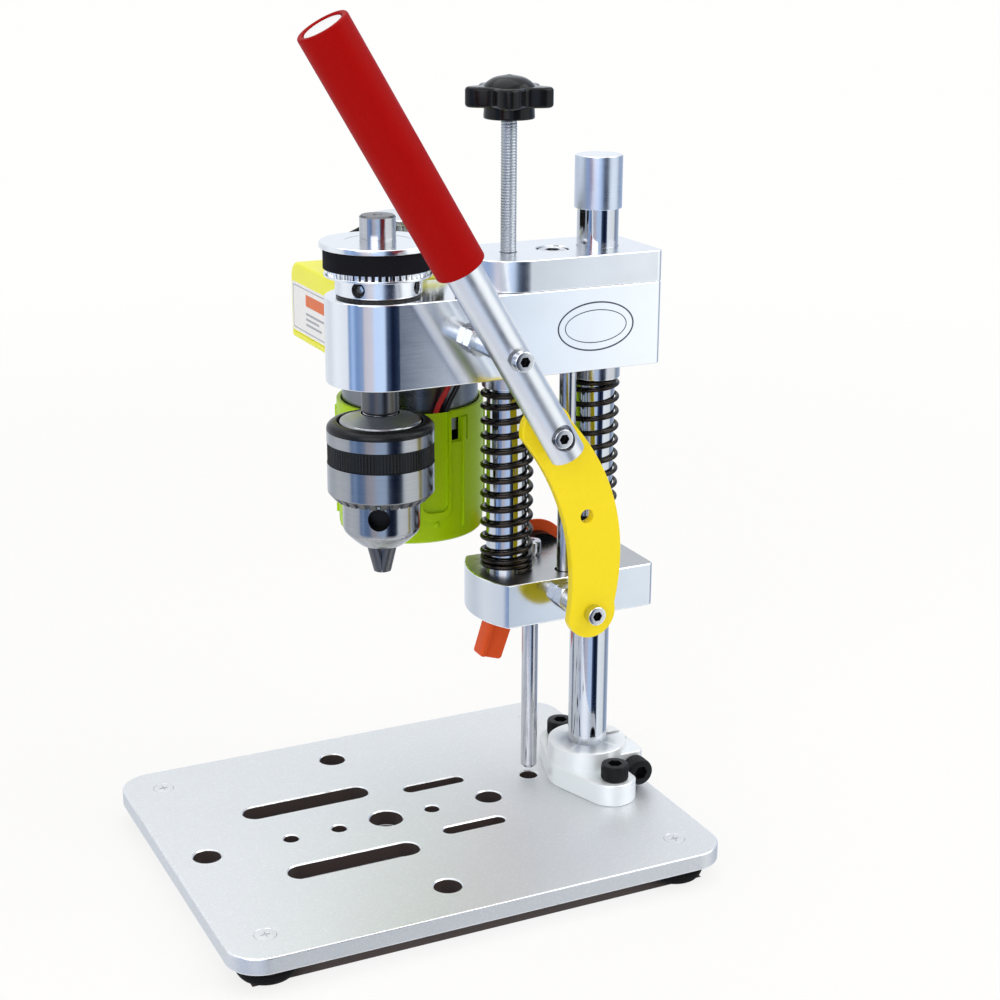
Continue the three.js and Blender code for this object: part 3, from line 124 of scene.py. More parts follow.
# shared surface effects
def effectTree(name, inputs, outputs):
    given = [("Vector", triple, None), *inputs]
    return newTree(name, "ShaderNodeTree", given, [(label, decimal) for label in outputs])


def makeToolMarks():
    # Fine straight scratches, long in the direction where Along is small.
    inputs = [("Along", triple, (1, 1, 1)), ("Scale", decimal, 2000.0)]
    tree, given, result = effectTree("toolMarks", inputs, ["Tint", "Height"])
    stretched = vectorNode(tree, "MULTIPLY", given["Vector"], given["Along"])
    fine = noiseNode(tree, stretched, given["Scale"], 4.0, 0.6)
    broadScale = mathNode(tree, "MULTIPLY", given["Scale"], 0.12)
    broad = noiseNode(tree, stretched, broadScale, 2.0)
    mixed = mathNode(tree, "MULTIPLY_ADD", broad, 0.5, mathNode(tree, "MULTIPLY", fine, 0.5))
    tree.links.new(mixed, result["Tint"])
    tree.links.new(fine, result["Height"])
    return tree


def makeTurnMarks():
    # Circular marks of a lathe about the Z axis, from the distance to the axis and the height.
    tree, given, result = effectTree("turnMarks", [("Scale", decimal, 3000.0)], ["Tint", "Height"])
    split = splitNode(tree, given["Vector"])
    reach = vectorNode(tree, "LENGTH", joinNode(tree, X=split[0], Y=split[1]))
    angle = mathNode(tree, "ARCTAN2", split[1], split[0])
    slow = mathNode(tree, "MULTIPLY", angle, 0.0004)
    marks = noiseNode(tree, joinNode(tree, X=reach, Y=slow, Z=split[2]), given["Scale"], 3.0, 0.55)
    for label in ("Tint", "Height"):
        tree.links.new(marks, result[label])
    return tree


def makeBlastGrain():
    # Sandblasted or moulded grain: small pits, and a few facets with painted highlights (Sparkle).
    outputs = ["Tint", "Height", "Sparkle"]
    tree, given, result = effectTree("blastGrain", [("Scale", decimal, 2500.0)], outputs)
    grain = noiseNode(tree, given["Vector"], given["Scale"], 3.0, 0.65)
    values = {"Vector": given["Vector"], "Scale": given["Scale"]}
    facets = addNode(tree, "ShaderNodeTexVoronoi", values)
    bright = addNode(tree, "ShaderNodeSeparateColor", {"Color": facets.outputs["Color"]})
    sparkle = mathNode(tree, "GREATER_THAN", bright.outputs[0], 0.9)
    broad = noiseNode(tree, given["Vector"], 60.0, 2.0)
    tint = mathNode(tree, "MULTIPLY_ADD", grain, 0.9, mathNode(tree, "MULTIPLY", broad, 0.1))
    for label, value in (("Tint", tint), ("Height", grain), ("Sparkle", sparkle)):
        tree.links.new(value, result[label])
    return tree


def makeEdgeWear():
    # The faces that markEdges found on rounded edges, broken up by noise.
    tree, given, result = effectTree("edgeWear", [("Break", decimal, 700.0)], ["Mask"])
    edge = addNode(tree, "ShaderNodeAttribute", attribute_name="edge")
    breakup = noiseNode(tree, given["Vector"], given["Break"], 3.0)
    broken = rangeNode(tree, breakup, 0.3, 0.5)
    mask = mathNode(tree, "MULTIPLY", edge.outputs["Fac"], broken.outputs[0])
    tree.links.new(mask, result["Mask"])
    return tree


def makeHandling():
    # Broad patches where hands and cloths have changed the gloss.
    inputs = [("Scale", decimal, 90.0), ("Low", decimal, 0.2), ("High", decimal, 0.4)]
    tree, given, result = effectTree("handling", inputs, ["Gloss"])
    patches = noiseNode(tree, given["Vector"], given["Scale"], 4.0, 0.6)
    spread = rangeNode(tree, patches, 0.3, 0.7, given["Low"], given["High"])
    tree.links.new(spread.outputs[0], result["Gloss"])
    return tree


effects = {
    "toolMarks": makeToolMarks(),
    "turnMarks": makeTurnMarks(),
    "blastGrain": makeBlastGrain(),
    "edgeWear": makeEdgeWear(),
    "handling": makeHandling(),
}
print("surface effects: ready")


# materials
def useEffect(tree, name, **values):
    return addNode(tree, "ShaderNodeGroup", values, node_tree=effects[name]).outputs


def blended(tree, factor, low, high):
    # Two colours mixed by a factor. Each is a tuple or comes from another node.
    mix = addNode(tree, "ShaderNodeMix", data_type="RGBA")
    feed(tree, mix.inputs["Factor"], factor)
    for label, tone in (("A", low), ("B", high)):
        feed(tree, mix.inputs[label], (*tone, 1) if isinstance(tone, tuple) else tone)
    return mix.outputs["Result"]


def startMaterial(name, metal, specular=0.5):
    material = bpy.data.materials.new(name)
    material.use_nodes = True
    tree = material.node_tree
    shader = tree.nodes["Principled BSDF"].inputs
    shader["Metallic"].default_value = metal
    shader["Specular IOR Level"].default_value = specular
    place = addNode(tree, "ShaderNodeTexCoord").outputs["Object"]
    return material, tree, shader, place


def coat(tree, shader, tone, rough, height, depth, strength=1.0):
    values = {"Height": height, "Strength": strength, "Distance": depth * mm}
    tree.links.new(tone, shader["Base Color"])
    tree.links.new(rough, shader["Roughness"])
    tree.links.new(addNode(tree, "ShaderNodeBump", values).outputs[0], shader["Normal"])


def milledMaterial(name, low, high, along, gloss, metal=1.0):
    material, tree, shader, place = startMaterial(name, metal)
    marks = useEffect(tree, "toolMarks", Vector=place, Along=along, Scale=1800.0)
    hands = useEffect(tree, "handling", Vector=place, Low=gloss[0], High=gloss[1])
    wear = useEffect(tree, "edgeWear", Vector=place)
    base = blended(tree, marks["Tint"], low, high)
    tone = blended(tree, wear["Mask"], base, (0.93, 0.94, 0.95))
    rough = mathNode(tree, "MULTIPLY_ADD", marks["Tint"], 0.12, hands["Gloss"])
    coat(tree, shader, tone, mathNode(tree, "SUBTRACT", rough, 0.06), marks["Height"], 0.004)
    return material


def turnedMaterial(name, centre, low, high, gloss, scale=2600.0, depth=0.003):
    # The lathe marks run about an upright axis through the centre.
    material, tree, shader, place = startMaterial(name, 1.0)
    x, y, z = centre
    values = {"Vector": place, "Location": (-x * mm, -y * mm, -(z + plateTop) * mm)}
    own = addNode(tree, "ShaderNodeMapping", values).outputs[0]
    marks = useEffect(tree, "turnMarks", Vector=own, Scale=scale)
    hands = useEffect(tree, "handling", Vector=place, Scale=140.0, Low=gloss[0], High=gloss[1])
    tone = blended(tree, marks["Tint"], low, high)
    rough = mathNode(tree, "MULTIPLY_ADD", marks["Tint"], 0.08, hands["Gloss"])
    coat(tree, shader, tone, mathNode(tree, "SUBTRACT", rough, 0.04), marks["Height"], depth)
    return material


def plasticMaterial(name, low, high, gloss, specular=0.32, grain=900.0, depth=0.006):
    material, tree, shader, place = startMaterial(name, 0.0, specular)
    skin = useEffect(tree, "blastGrain", Vector=place, Scale=grain)
    hands = useEffect(tree, "handling", Vector=place, Low=gloss[0], High=gloss[1])
    tone = blended(tree, skin["Tint"], low, high)
    coat(tree, shader, tone, hands["Gloss"], skin["Height"], depth)
    return material


def blastedMaterial(name, low, high):
    material, tree, shader, place = startMaterial(name, 0.85)
    skin = useEffect(tree, "blastGrain", Vector=place, Scale=2300.0)
    wear = useEffect(tree, "edgeWear", Vector=place, Break=300.0)
    base = blended(tree, skin["Tint"], low, high)
    # Painted glints: the sparkle facets are mixed toward near white.
    glint = mathNode(tree, "MULTIPLY", skin["Sparkle"], 0.22)
    bright = blended(tree, glint, base, (0.95, 0.96, 0.97))
    tone = blended(tree, wear["Mask"], bright, (0.92, 0.92, 0.93))
    rough = mathNode(tree, "MULTIPLY_ADD", skin["Tint"], 0.16, 0.42)
    worn = mathNode(tree, "MULTIPLY_ADD", wear["Mask"], -0.25, rough)
    coat(tree, shader, tone, worn, skin["Height"], 0.04, 0.7)
    return material


def darkMetalMaterial(name, low, high, gloss, worn, metal, specular):
    material, tree, shader, place = startMaterial(name, metal, specular)
    skin = useEffect(tree, "blastGrain", Vector=place, Scale=1500.0)
    hands = useEffect(tree, "handling", Vector=place, Scale=160.0, Low=gloss[0], High=gloss[1])
    wear = useEffect(tree, "edgeWear", Vector=place)
    base = blended(tree, skin["Tint"], low, high)
    tone = blended(tree, wear["Mask"], base, worn)
    coat(tree, shader, tone, hands["Gloss"], skin["Height"], 0.006)
    return material


lengthways = (1.0, 0.06, 1.0)
evenly = (1.0, 1.0, 1.0)
spindleAxis = (0, spindleY, 0)
motorAxis = (*motorPlace, 0)
# Each row: key, name, dark tone, light tone and what else its function takes.
finishRows = {
    blastedMaterial: [
        ("plate", "blastedPlate", (0.66, 0.67, 0.68), (0.84, 0.85, 0.86)),
    ],
    milledMaterial: [
        ("block", "milledBlock", (0.84, 0.85, 0.87), (0.92, 0.93, 0.945), lengthways, (0.09, 0.13)),
        ("topBlock", "topBlock", (0.84, 0.85, 0.87), (0.92, 0.93, 0.945), lengthways, (0.22, 0.28)),
        ("lowBlock", "lowBlock", (0.64, 0.67, 0.71), (0.72, 0.75, 0.79), lengthways, (0.12, 0.17)),
        # The next row is painted shade for the top face of the lower block.
        ("lowTop", "lowBlockTop", (0.46, 0.46, 0.46), (0.56, 0.56, 0.56), lengthways, (0.26, 0.34)),
        ("flange", "flangeAluminium", (0.88, 0.92, 0.94), (0.94, 0.97, 0.98), (1.0, 0.3, 1.0),
         (0.28, 0.36), 0.3),
        ("steel", "brightSteel", (0.50, 0.50, 0.52), (0.70, 0.70, 0.72), evenly, (0.16, 0.24)),
        ("zinc", "zincedSteel", (0.62, 0.63, 0.63), (0.80, 0.80, 0.80), evenly, (0.22, 0.32)),
        ("jaw", "jawSteel", (0.10, 0.10, 0.105), (0.17, 0.17, 0.175), (1.0, 1.0, 0.1),
         (0.26, 0.34)),
        ("thread", "threadSteel", (0.42, 0.45, 0.48), (0.52, 0.55, 0.58), evenly, (0.38, 0.46)),
    ],
    # The name is followed by the axis of the turned marks.
    turnedMaterial: [
        ("lever", "leverAluminium", (37, 14, 147.5), (0.84, 0.85, 0.865), (0.90, 0.91, 0.92),
         (0.32, 0.40), 900.0, 0.001),
        ("column", "chromedColumn", (0, columnY, 0), (0.58, 0.60, 0.64), (0.65, 0.67, 0.71),
         (0.06, 0.10), 2600.0, 0.0006),
        ("guide", "chromedGuide", (0, guideY, 0), (0.58, 0.60, 0.64), (0.65, 0.67, 0.71),
         (0.06, 0.10), 2600.0, 0.0006),
        ("cap", "capAluminium", (0, columnY, 0), (0.60, 0.67, 0.78), (0.69, 0.75, 0.84),
         (0.26, 0.34)),
        ("spindle", "spindleSteel", spindleAxis, (0.48, 0.48, 0.50), (0.62, 0.62, 0.64),
         (0.12, 0.18), 2600.0, 0.001),
        ("chuck", "chuckSteel", spindleAxis, (0.34, 0.345, 0.36), (0.43, 0.44, 0.455),
         (0.14, 0.20), 2600.0, 0.0012),
        ("pulley", "pulleyAluminium", spindleAxis, (0.86, 0.87, 0.885), (0.95, 0.955, 0.96),
         (0.16, 0.24)),
        ("motorPulley", "motorPulleyAluminium", motorAxis, (0.74, 0.75, 0.77), (0.88, 0.88, 0.89),
         (0.2, 0.28)),
        ("motorCan", "motorCanSteel", motorAxis, (0.18, 0.19, 0.205), (0.24, 0.25, 0.27),
         (0.24, 0.32), 600.0),
    ],
    darkMetalMaterial: [
        # painted shade for the walls inside the table's slots and holes
        ("slot", "slotWall", (0.035, 0.024, 0.022), (0.07, 0.05, 0.046), (0.45, 0.6),
         (0.2, 0.17, 0.16), 0.0, 0.2),
        ("blackened", "blackenedSteel", (0.004, 0.004, 0.005), (0.010, 0.010, 0.012), (0.26, 0.38),
         (0.04, 0.04, 0.04), 0.0, 0.17),
        ("spring", "springWire", (0.022, 0.018, 0.015), (0.05, 0.042, 0.035), (0.20, 0.30),
         (0.2, 0.18, 0.16), 1.0, 0.5),
        ("band", "chuckBand", (0.005, 0.006, 0.007), (0.011, 0.012, 0.013), (0.22, 0.32),
         (0.02, 0.02, 0.02), 0.0, 0.25),
    ],
    plasticMaterial: [
        ("rubber", "footRubber", (0.006, 0.006, 0.007), (0.016, 0.016, 0.016), (0.6, 0.75), 0.05,
         1400.0, 0.02),
        ("belt", "beltRubber", (0.006, 0.006, 0.008), (0.014, 0.014, 0.018), (0.55, 0.68), 0.04,
         2200.0, 0.015),
        ("knob", "knobBlack", (0.005, 0.005, 0.006), (0.010, 0.010, 0.011), (0.14, 0.22), 0.2,
         700.0, 0.002),
        ("grip", "gripRed", (0.32, 0.001, 0.001), (0.39, 0.002, 0.001), (0.42, 0.52), 0.07, 1100.0),
        ("plug", "plugWhite", (0.84, 0.84, 0.84), (0.92, 0.92, 0.92), (0.4, 0.5)),
        ("link", "linkYellow", (0.90, 0.70, 0.006), (0.95, 0.75, 0.012), (0.26, 0.34), 0.25, 500.0,
         0.008),
        ("housing", "housingYellow", (0.90, 0.88, 0.05), (0.95, 0.93, 0.09), (0.34, 0.44), 0.32,
         1300.0),
        ("cover", "coverLime", (0.40, 0.63, 0.001), (0.47, 0.71, 0.002), (0.30, 0.38), 0.16, 900.0,
         0.004),
        ("handle", "handleOrange", (0.78, 0.090, 0.018), (0.86, 0.115, 0.026), (0.34, 0.44), 0.12,
         1100.0),
        ("redWire", "wireRed", (0.45, 0.01, 0.01), (0.55, 0.02, 0.02), (0.3, 0.4)),
        ("blackWire", "wireBlack", (0.01, 0.01, 0.01), (0.02, 0.02, 0.02), (0.3, 0.4)),
        ("label", "labelWhite", (0.86, 0.85, 0.85), (0.92, 0.91, 0.91), (0.25, 0.35)),
        ("labelGrey", "labelGrey", (0.36, 0.38, 0.42), (0.42, 0.44, 0.48), (0.3, 0.4)),
        ("labelOrange", "labelOrange", (0.74, 0.14, 0.02), (0.80, 0.17, 0.03), (0.3, 0.4)),
        ("ink", "stickerInk", (0.05, 0.06, 0.10), (0.09, 0.10, 0.14), (0.35, 0.45)),
    ],
}
finish = {}
for makeMaterial, rows in finishRows.items():
    for key, *values in rows:
        finish[key] = makeMaterial(*values)
print("materials:", len(finish))


# outlines in the plane
def arc(x, y, radius, start, end, steps):
    turns = [math.radians(start + (end - start) * step / steps) for step in range(steps + 1)]
    return [Vector((x + radius * math.cos(turn), y + radius * math.sin(turn))) for turn in turns]


def circle(x, y, radius, steps=40):
    return arc(x, y, radius, 0, 360, steps)[:-1]


def hexagon(reach, turn=0):
    return arc(0, 0, reach, turn, 360 + turn, 6)[:-1]


def roundRect(low, high, radius, steps=10):
    corners = [
        (high[0] - radius, low[1] + radius, 270),
        (high[0] - radius, high[1] - radius, 0),
        (low[0] + radius, high[1] - radius, 90),
        (low[0] + radius, low[1] + radius, 180),
    ]
    loop = []
    for x, y, start in corners:
        loop += arc(x, y, radius, start, start + 90, steps)
    return loop


def slotLoop(x, y, length, width, steps=14):
    reach = (length - width) / 2
    high = arc(x, y + reach, width / 2, 0, 180, steps)
    return high + arc(x, y - reach, width / 2, 180, 360, steps)


def polygon(*corners):
    return [Vector(corner) for corner in corners]


def wound(loop):
    return sum(loop[i - 1].cross(loop[i]) for i in range(len(loop))) > 0


def movedLeft(loop, inset):
    moved = []
    for index, point in enumerate(loop):
        before = (point - loop[index - 1]).normalized()
        after = (loop[(index + 1) % len(loop)] - point).normalized()
        normal = Vector((-before.y - after.y, before.x + after.x)).normalized()
        spread = max(normal.dot(Vector((-after.y, after.x))), 0.3)
        moved.append(point + normal * (inset / spread))
    return moved


# forms in mesh code
def rounding(low, high, edge, steps=3):
    # Pairs of inset and height up one side, with a rounded edge at both ends.
    if edge == 0:
        return [(0, low), (0, high)]
    turns = [math.pi / 2 * step / steps for step in range(steps + 1)]
    foot = [(edge * (1 - math.sin(turn)), low + edge * (1 - math.cos(turn))) for turn in turns]
    return foot + [(inset, low + high - height) for inset, height in reversed(foot)]


def prism(outer, holes, low, high, edge=0.3, holeEdge=0.2, steps=3):
    # Upright form of an outline with holes. A hole may be a pair of loop and rims.
    form = bmesh.new()
    lowEdges = []
    highEdges = []
    loops = [(outer if wound(outer) else outer[::-1], rounding(low, high, edge, steps))]
    for hole in holes:
        loop, rims = hole if isinstance(hole, tuple) else (hole, rounding(low, high, holeEdge, 2))
        loops.append((loop[::-1] if wound(loop) else loop, rims))
    for loop, rims in loops:
        rings = []
        for inset, height in rims:
            points = movedLeft(loop, inset) if inset else loop
            rings.append([form.verts.new((point.x, point.y, height)) for point in points])
        count = len(loop)
        for lower, upper in zip(rings, rings[1:]):
            for i in range(count):
                j = (i + 1) % count
                form.faces.new((lower[i], lower[j], upper[j], upper[i]))
        for ring, edges in ((rings[0], lowEdges), (rings[-1], highEdges)):
            edges += [form.edges.get((ring[i], ring[(i + 1) % count])) for i in range(count)]
    bmesh.ops.triangle_fill(form, use_beauty=True, edges=lowEdges, normal=(0, 0, -1))
    bmesh.ops.triangle_fill(form, use_beauty=True, edges=highEdges, normal=(0, 0, 1))
    bmesh.ops.recalc_face_normals(form, faces=form.faces)
    return form


def sharpPrism(outer, low, high):
    return prism(outer, [], low, high, 0)


def softened(profile, steps):
    # A profile corner whose third value isn't zero becomes a curve of about that radius.
    points = []
    for index, corner in enumerate(profile):
        place = Vector(corner[:2])
        if len(corner) < 3 or corner[2] == 0:
            points.append(place)
            continue
        before = Vector(profile[index - 1][:2]) - place
        after = Vector(profile[(index + 1) % len(profile)][:2]) - place
        start = place + before.normalized() * min(corner[2], before.length * 0.49)
        end = place + after.normalized() * min(corner[2], after.length * 0.49)
        for step in range(steps + 1):
            share = step / steps
            points.append(bowed(start, place, end, share))
    return points


def bowed(start, control, end, share):
    return start * (1 - share) ** 2 + control * 2 * share * (1 - share) + end * share ** 2


def turned(profile, facets=64, closed=False, steps=3):
    # Form turned about Z from pairs of radius and height; closed joins the last pair to the first.
    form = bmesh.new()
    turns = [math.tau * i / facets for i in range(facets)]
    rings = []
    for point in softened(profile, steps):
        if point.x < 1e-6:
            rings.append([form.verts.new((0, 0, point.y))])
            continue
        spots = [(point.x * math.cos(turn), point.x * math.sin(turn), point.y) for turn in turns]
        rings.append([form.verts.new(spot) for spot in spots])
    pairs = list(zip(rings, rings[1:]))
    if closed:
        pairs.append((rings[-1], rings[0]))
    for lower, upper in pairs:
        if len(lower) == 1 and len(upper) == 1:
            continue
        for i in range(facets):
            j = (i + 1) % facets
            if len(lower) == 1:
                form.faces.new((lower[0], upper[j], upper[i]))
            elif len(upper) == 1:
                form.faces.new((lower[i], lower[j], upper[0]))
            else:
                form.faces.new((lower[i], lower[j], upper[j], upper[i]))
    bmesh.ops.recalc_face_normals(form, faces=form.faces)
    return form


def bar(radius, low, high, facets=32, lowEdge=0, highEdge=0):
    profile = [(0, low), (radius, low, lowEdge), (radius, high, highEdge), (0, high)]
    return turned(profile, facets)


def collar(inner, outer, low, high, lowEdge=0, highEdge=0, facets=72):
    profile = [(inner, low), (outer, low, lowEdge), (outer, high, highEdge), (inner, high)]
    return turned(profile, facets, closed=True)


def placed(form, x=0, y=0, z=0, turn=None):
    matrix = Matrix.Translation((x, y, z))
    form.transform(matrix if turn is None else matrix @ turn)
    return form


def spin(axis, degrees):
    return Matrix.Rotation(math.radians(degrees), 4, axis)


# A form built upright lies along +X after alongX, and its X and Y become Y and Z.
alongX = Matrix(((0, 0, 1, 0), (1, 0, 0, 0), (0, 1, 0, 0), (0, 0, 0, 1)))
alongY = Matrix(((1, 0, 0, 0), (0, 0, 1, 0), (0, -1, 0, 0), (0, 0, 0, 1)))


def addObject(name, data):
    piece = bpy.data.objects.new(name, data)
    bpy.context.scene.collection.objects.link(piece)
    return piece


def toObject(form, name):
    mesh = bpy.data.meshes.new(name)
    form.to_mesh(mesh)
    form.free()
    return addObject(name, mesh)


def finalMesh(piece):
    bpy.context.view_layer.update()
    graph = bpy.context.evaluated_depsgraph_get()
    return bpy.data.meshes.new_from_object(piece.evaluated_get(graph))


def settle(piece):
    # The evaluated object becomes a plain mesh and its modifiers go.
    mesh = finalMesh(piece)
    piece.modifiers.clear()
    old = piece.data
    piece.data = mesh
    mesh.name = piece.name
    bpy.data.meshes.remove(old)
    return piece


def combined(form, others, operation):
    # One form after cutting the others from it or joining them to it.
    base = toObject(form, "base")
    tools = [toObject(other, "tool") for other in others]
    for tool in tools:
        modifier = base.modifiers.new("combine", "BOOLEAN")
        modifier.operation = operation
        modifier.solver = "EXACT"
        modifier.object = tool
    settle(base)
    result = bmesh.new()
    result.from_mesh(base.data)
    for item in [base, *tools]:
        bpy.data.objects.remove(item)
    return result


def carved(form, cutters):
    return combined(form, cutters, "DIFFERENCE")


def united(form, others):
    return combined(form, others, "UNION")


def gathered(*forms):
    # Several closed forms in one mesh, without joining their surfaces.
    result = bmesh.new()
    for form in forms:
        mesh = bpy.data.meshes.new("part")
        form.to_mesh(mesh)
        form.free()
        result.from_mesh(mesh)
        bpy.data.meshes.remove(mesh)
    return result


edgeWidth = 0.6 * mm
edgeTurn = math.radians(34)


def markEdges(mesh):
    # Narrow strips of rounded and chamfered edges get 1 in the attribute that edgeWear reads.
    form = bmesh.new()
    form.from_mesh(mesh)
    layer = form.faces.layers.float.new("edge")
    for face in form.faces:
        sides = sorted(face.edges, key=lambda edge: edge.calc_length())[-2:]
        width = face.calc_area() / max(sides[-1].calc_length(), 1e-9)
        turn = sum(edge.calc_face_angle(0) for edge in sides)
        face[layer] = float(width < edgeWidth and turn > edgeTurn)
    form.to_mesh(mesh)
    form.free()


def dress(piece, body, materials, nodes, sharpAngle=32):
    # Shading, finish, body and the CAD nodes of a piece that is already in its place.
    for material in materials:
        piece.data.materials.append(finish[material])
    for face in piece.data.polygons:
        face.use_smooth = True
    markEdges(piece.data)
    piece.data.set_sharp_from_angle(angle=math.radians(sharpAngle))
    weighted = piece.modifiers.new("weighted", "WEIGHTED_NORMAL")
    weighted.keep_sharp = True
    weighted.weight = 50
    settle(piece)
    return seat(piece, body, nodes)


def seat(piece, body, nodes):
    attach(piece, body)
    if nodes:
        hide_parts(*nodes)
    return piece


def makePiece(name, form, body, materials, nodes, paint=None, sharpAngle=32):
    # A paint function picks the material of each face from the face's centre.
    if paint:
        for face in form.faces:
            face.material_index = paint(face.calc_center_median())
    form.transform(Matrix.Scale(mm, 4) @ Matrix.Translation((0, 0, plateTop)))
    materials = [materials] if isinstance(materials, str) else materials
    return dress(toObject(form, name), body, materials, nodes, sharpAngle)


# shapes that repeat
def shapeTree(name, *inputs):
    given = [*inputs, ("Material", "NodeSocketMaterial", None)]
    return newTree(name, "GeometryNodeTree", given, [("Geometry", geometry)])


def closeTree(tree, given, result, last):
    real = addNode(tree, "GeometryNodeRealizeInstances", {"Geometry": last}).outputs[0]
    values = {"Geometry": real, "Material": given["Material"]}
    painted = addNode(tree, "GeometryNodeSetMaterial", values)
    tree.links.new(painted.outputs[0], result["Geometry"])
    return tree


def copiesNode(tree, points, model, **values):
    piece = addNode(tree, "GeometryNodeObjectInfo", {"Object": model}).outputs["Geometry"]
    values = {"Points": points, "Instance": piece, **values}
    return addNode(tree, "GeometryNodeInstanceOnPoints", values).outputs[0]


pointsInput = ("Points", geometry, None)
pieceInput = ("Piece", "NodeSocketObject", None)
centreInput = ("Centre", triple, (0, 0, 0))


def piecesOnPoints():
    tree, given, result = shapeTree("piecesOnPoints", pointsInput, pieceInput)
    return closeTree(tree, given, result, copiesNode(tree, given["Points"], given["Piece"]))


def piecesInRing():
    # Copies of a piece about the Z axis through the centre.
    inputs = [("Count", whole, 12), ("Turn", decimal, 0.0), centreInput]
    tree, given, result = shapeTree("piecesInRing", pointsInput, pieceInput, *inputs)
    values = {"Count": given["Count"], "Position": given["Centre"]}
    points = addNode(tree, "GeometryNodePoints", values).outputs[0]
    index = addNode(tree, "GeometryNodeInputIndex").outputs[0]
    share = mathNode(tree, "DIVIDE", index, given["Count"])
    turn = joinNode(tree, Z=mathNode(tree, "MULTIPLY_ADD", share, math.tau, given["Turn"]))
    copies = copiesNode(tree, points, given["Piece"], Rotation=turn)
    return closeTree(tree, given, result, copies)


def coilSpring():
    # Wire wound right-handed on Z: closed curls at both ends and open curls between them.
    tree, given, result = shapeTree(
        "coilSpring",
        pointsInput,
        ("Coil Radius", decimal, 0.0072),
        ("Wire Radius", decimal, 0.00075),
        ("Open Curls", decimal, 11.0),
        ("Open Pitch", decimal, 0.0045),
        ("Low Curls", decimal, 2.5),
        ("High Curls", decimal, 1.0),
        ("Closed Pitch", decimal, 0.0016),
        ("Steps Per Curl", whole, 48),
        centreInput,
    )
    opened = mathNode(tree, "ADD", given["Low Curls"], given["Open Curls"])
    curls = mathNode(tree, "ADD", opened, given["High Curls"])
    count = mathNode(tree, "MULTIPLY_ADD", curls, given["Steps Per Curl"], 1.0)
    line = addNode(tree, "GeometryNodeCurvePrimitiveLine").outputs[0]
    fine = addNode(tree, "GeometryNodeResampleCurve", {"Curve": line, "Count": count}).outputs[0]
    index = addNode(tree, "GeometryNodeInputIndex").outputs[0]
    turns = mathNode(tree, "DIVIDE", index, given["Steps Per Curl"])
    pastLow = mathNode(tree, "MAXIMUM", mathNode(tree, "SUBTRACT", turns, given["Low Curls"]), 0.0)
    middle = mathNode(tree, "MINIMUM", pastLow, given["Open Curls"])
    closed = mathNode(tree, "SUBTRACT", turns, middle)
    rise = mathNode(tree, "MULTIPLY", closed, given["Closed Pitch"])
    height = mathNode(tree, "MULTIPLY_ADD", middle, given["Open Pitch"], rise)
    angle = mathNode(tree, "MULTIPLY", turns, math.tau)
    x = mathNode(tree, "MULTIPLY", mathNode(tree, "COSINE", angle), given["Coil Radius"])
    y = mathNode(tree, "MULTIPLY", mathNode(tree, "SINE", angle), given["Coil Radius"])
    moved = vectorNode(tree, "ADD", joinNode(tree, X=x, Y=y, Z=height), given["Centre"])
    coil = addNode(tree, "GeometryNodeSetPosition", {"Geometry": fine, "Position": moved})
    values = {"Resolution": 12, "Radius": given["Wire Radius"]}
    section = addNode(tree, "GeometryNodeCurvePrimitiveCircle", values).outputs[0]
    values = {"Curve": coil.outputs[0], "Profile Curve": section, "Fill Caps": True}
    wire = addNode(tree, "GeometryNodeCurveToMesh", values).outputs[0]
    return closeTree(tree, given, result, wire)


def threadedRod():
    # A round rod whose surface rises and falls once for each pitch along a right-hand helix.
    tree, given, result = shapeTree(
        "threadedRod",
        pointsInput,
        ("Radius", decimal, 0.0023),
        ("Depth", decimal, 0.0003),
        ("Pitch", decimal, 0.0008),
        ("Length", decimal, 0.05),
        centreInput,
    )
    pitches = mathNode(tree, "DIVIDE", given["Length"], given["Pitch"])
    rows = mathNode(tree, "MULTIPLY", pitches, 6.0)
    values = {"Radius": given["Radius"], "Depth": given["Length"]}
    values = {"Vertices": 32, "Side Segments": rows, **values}
    blank = addNode(tree, "GeometryNodeMeshCylinder", values).outputs[0]
    place = addNode(tree, "GeometryNodeInputPosition").outputs[0]
    split = splitNode(tree, place)
    angle = mathNode(tree, "ARCTAN2", split[1], split[0])
    around = mathNode(tree, "DIVIDE", angle, math.tau)
    along = mathNode(tree, "ADD", mathNode(tree, "DIVIDE", split[2], given["Pitch"]), 1000.0)
    phase = mathNode(tree, "FRACT", mathNode(tree, "SUBTRACT", along, around))
    wave = mathNode(tree, "ABSOLUTE", mathNode(tree, "MULTIPLY_ADD", phase, 2.0, -1.0))
    flat = mathNode(tree, "MULTIPLY", wave, 1.25, clamp=True)
    cut = mathNode(tree, "MULTIPLY", flat, given["Depth"])
    share = mathNode(tree, "SUBTRACT", 1.0, mathNode(tree, "DIVIDE", cut, given["Radius"]))
    shaped = vectorNode(tree, "MULTIPLY", place, joinNode(tree, X=share, Y=share, Z=1.0))
    moved = vectorNode(tree, "ADD", shaped, given["Centre"])
    rod = addNode(tree, "GeometryNodeSetPosition", {"Geometry": blank, "Position": moved})
    return closeTree(tree, given, result, rod.outputs[0])


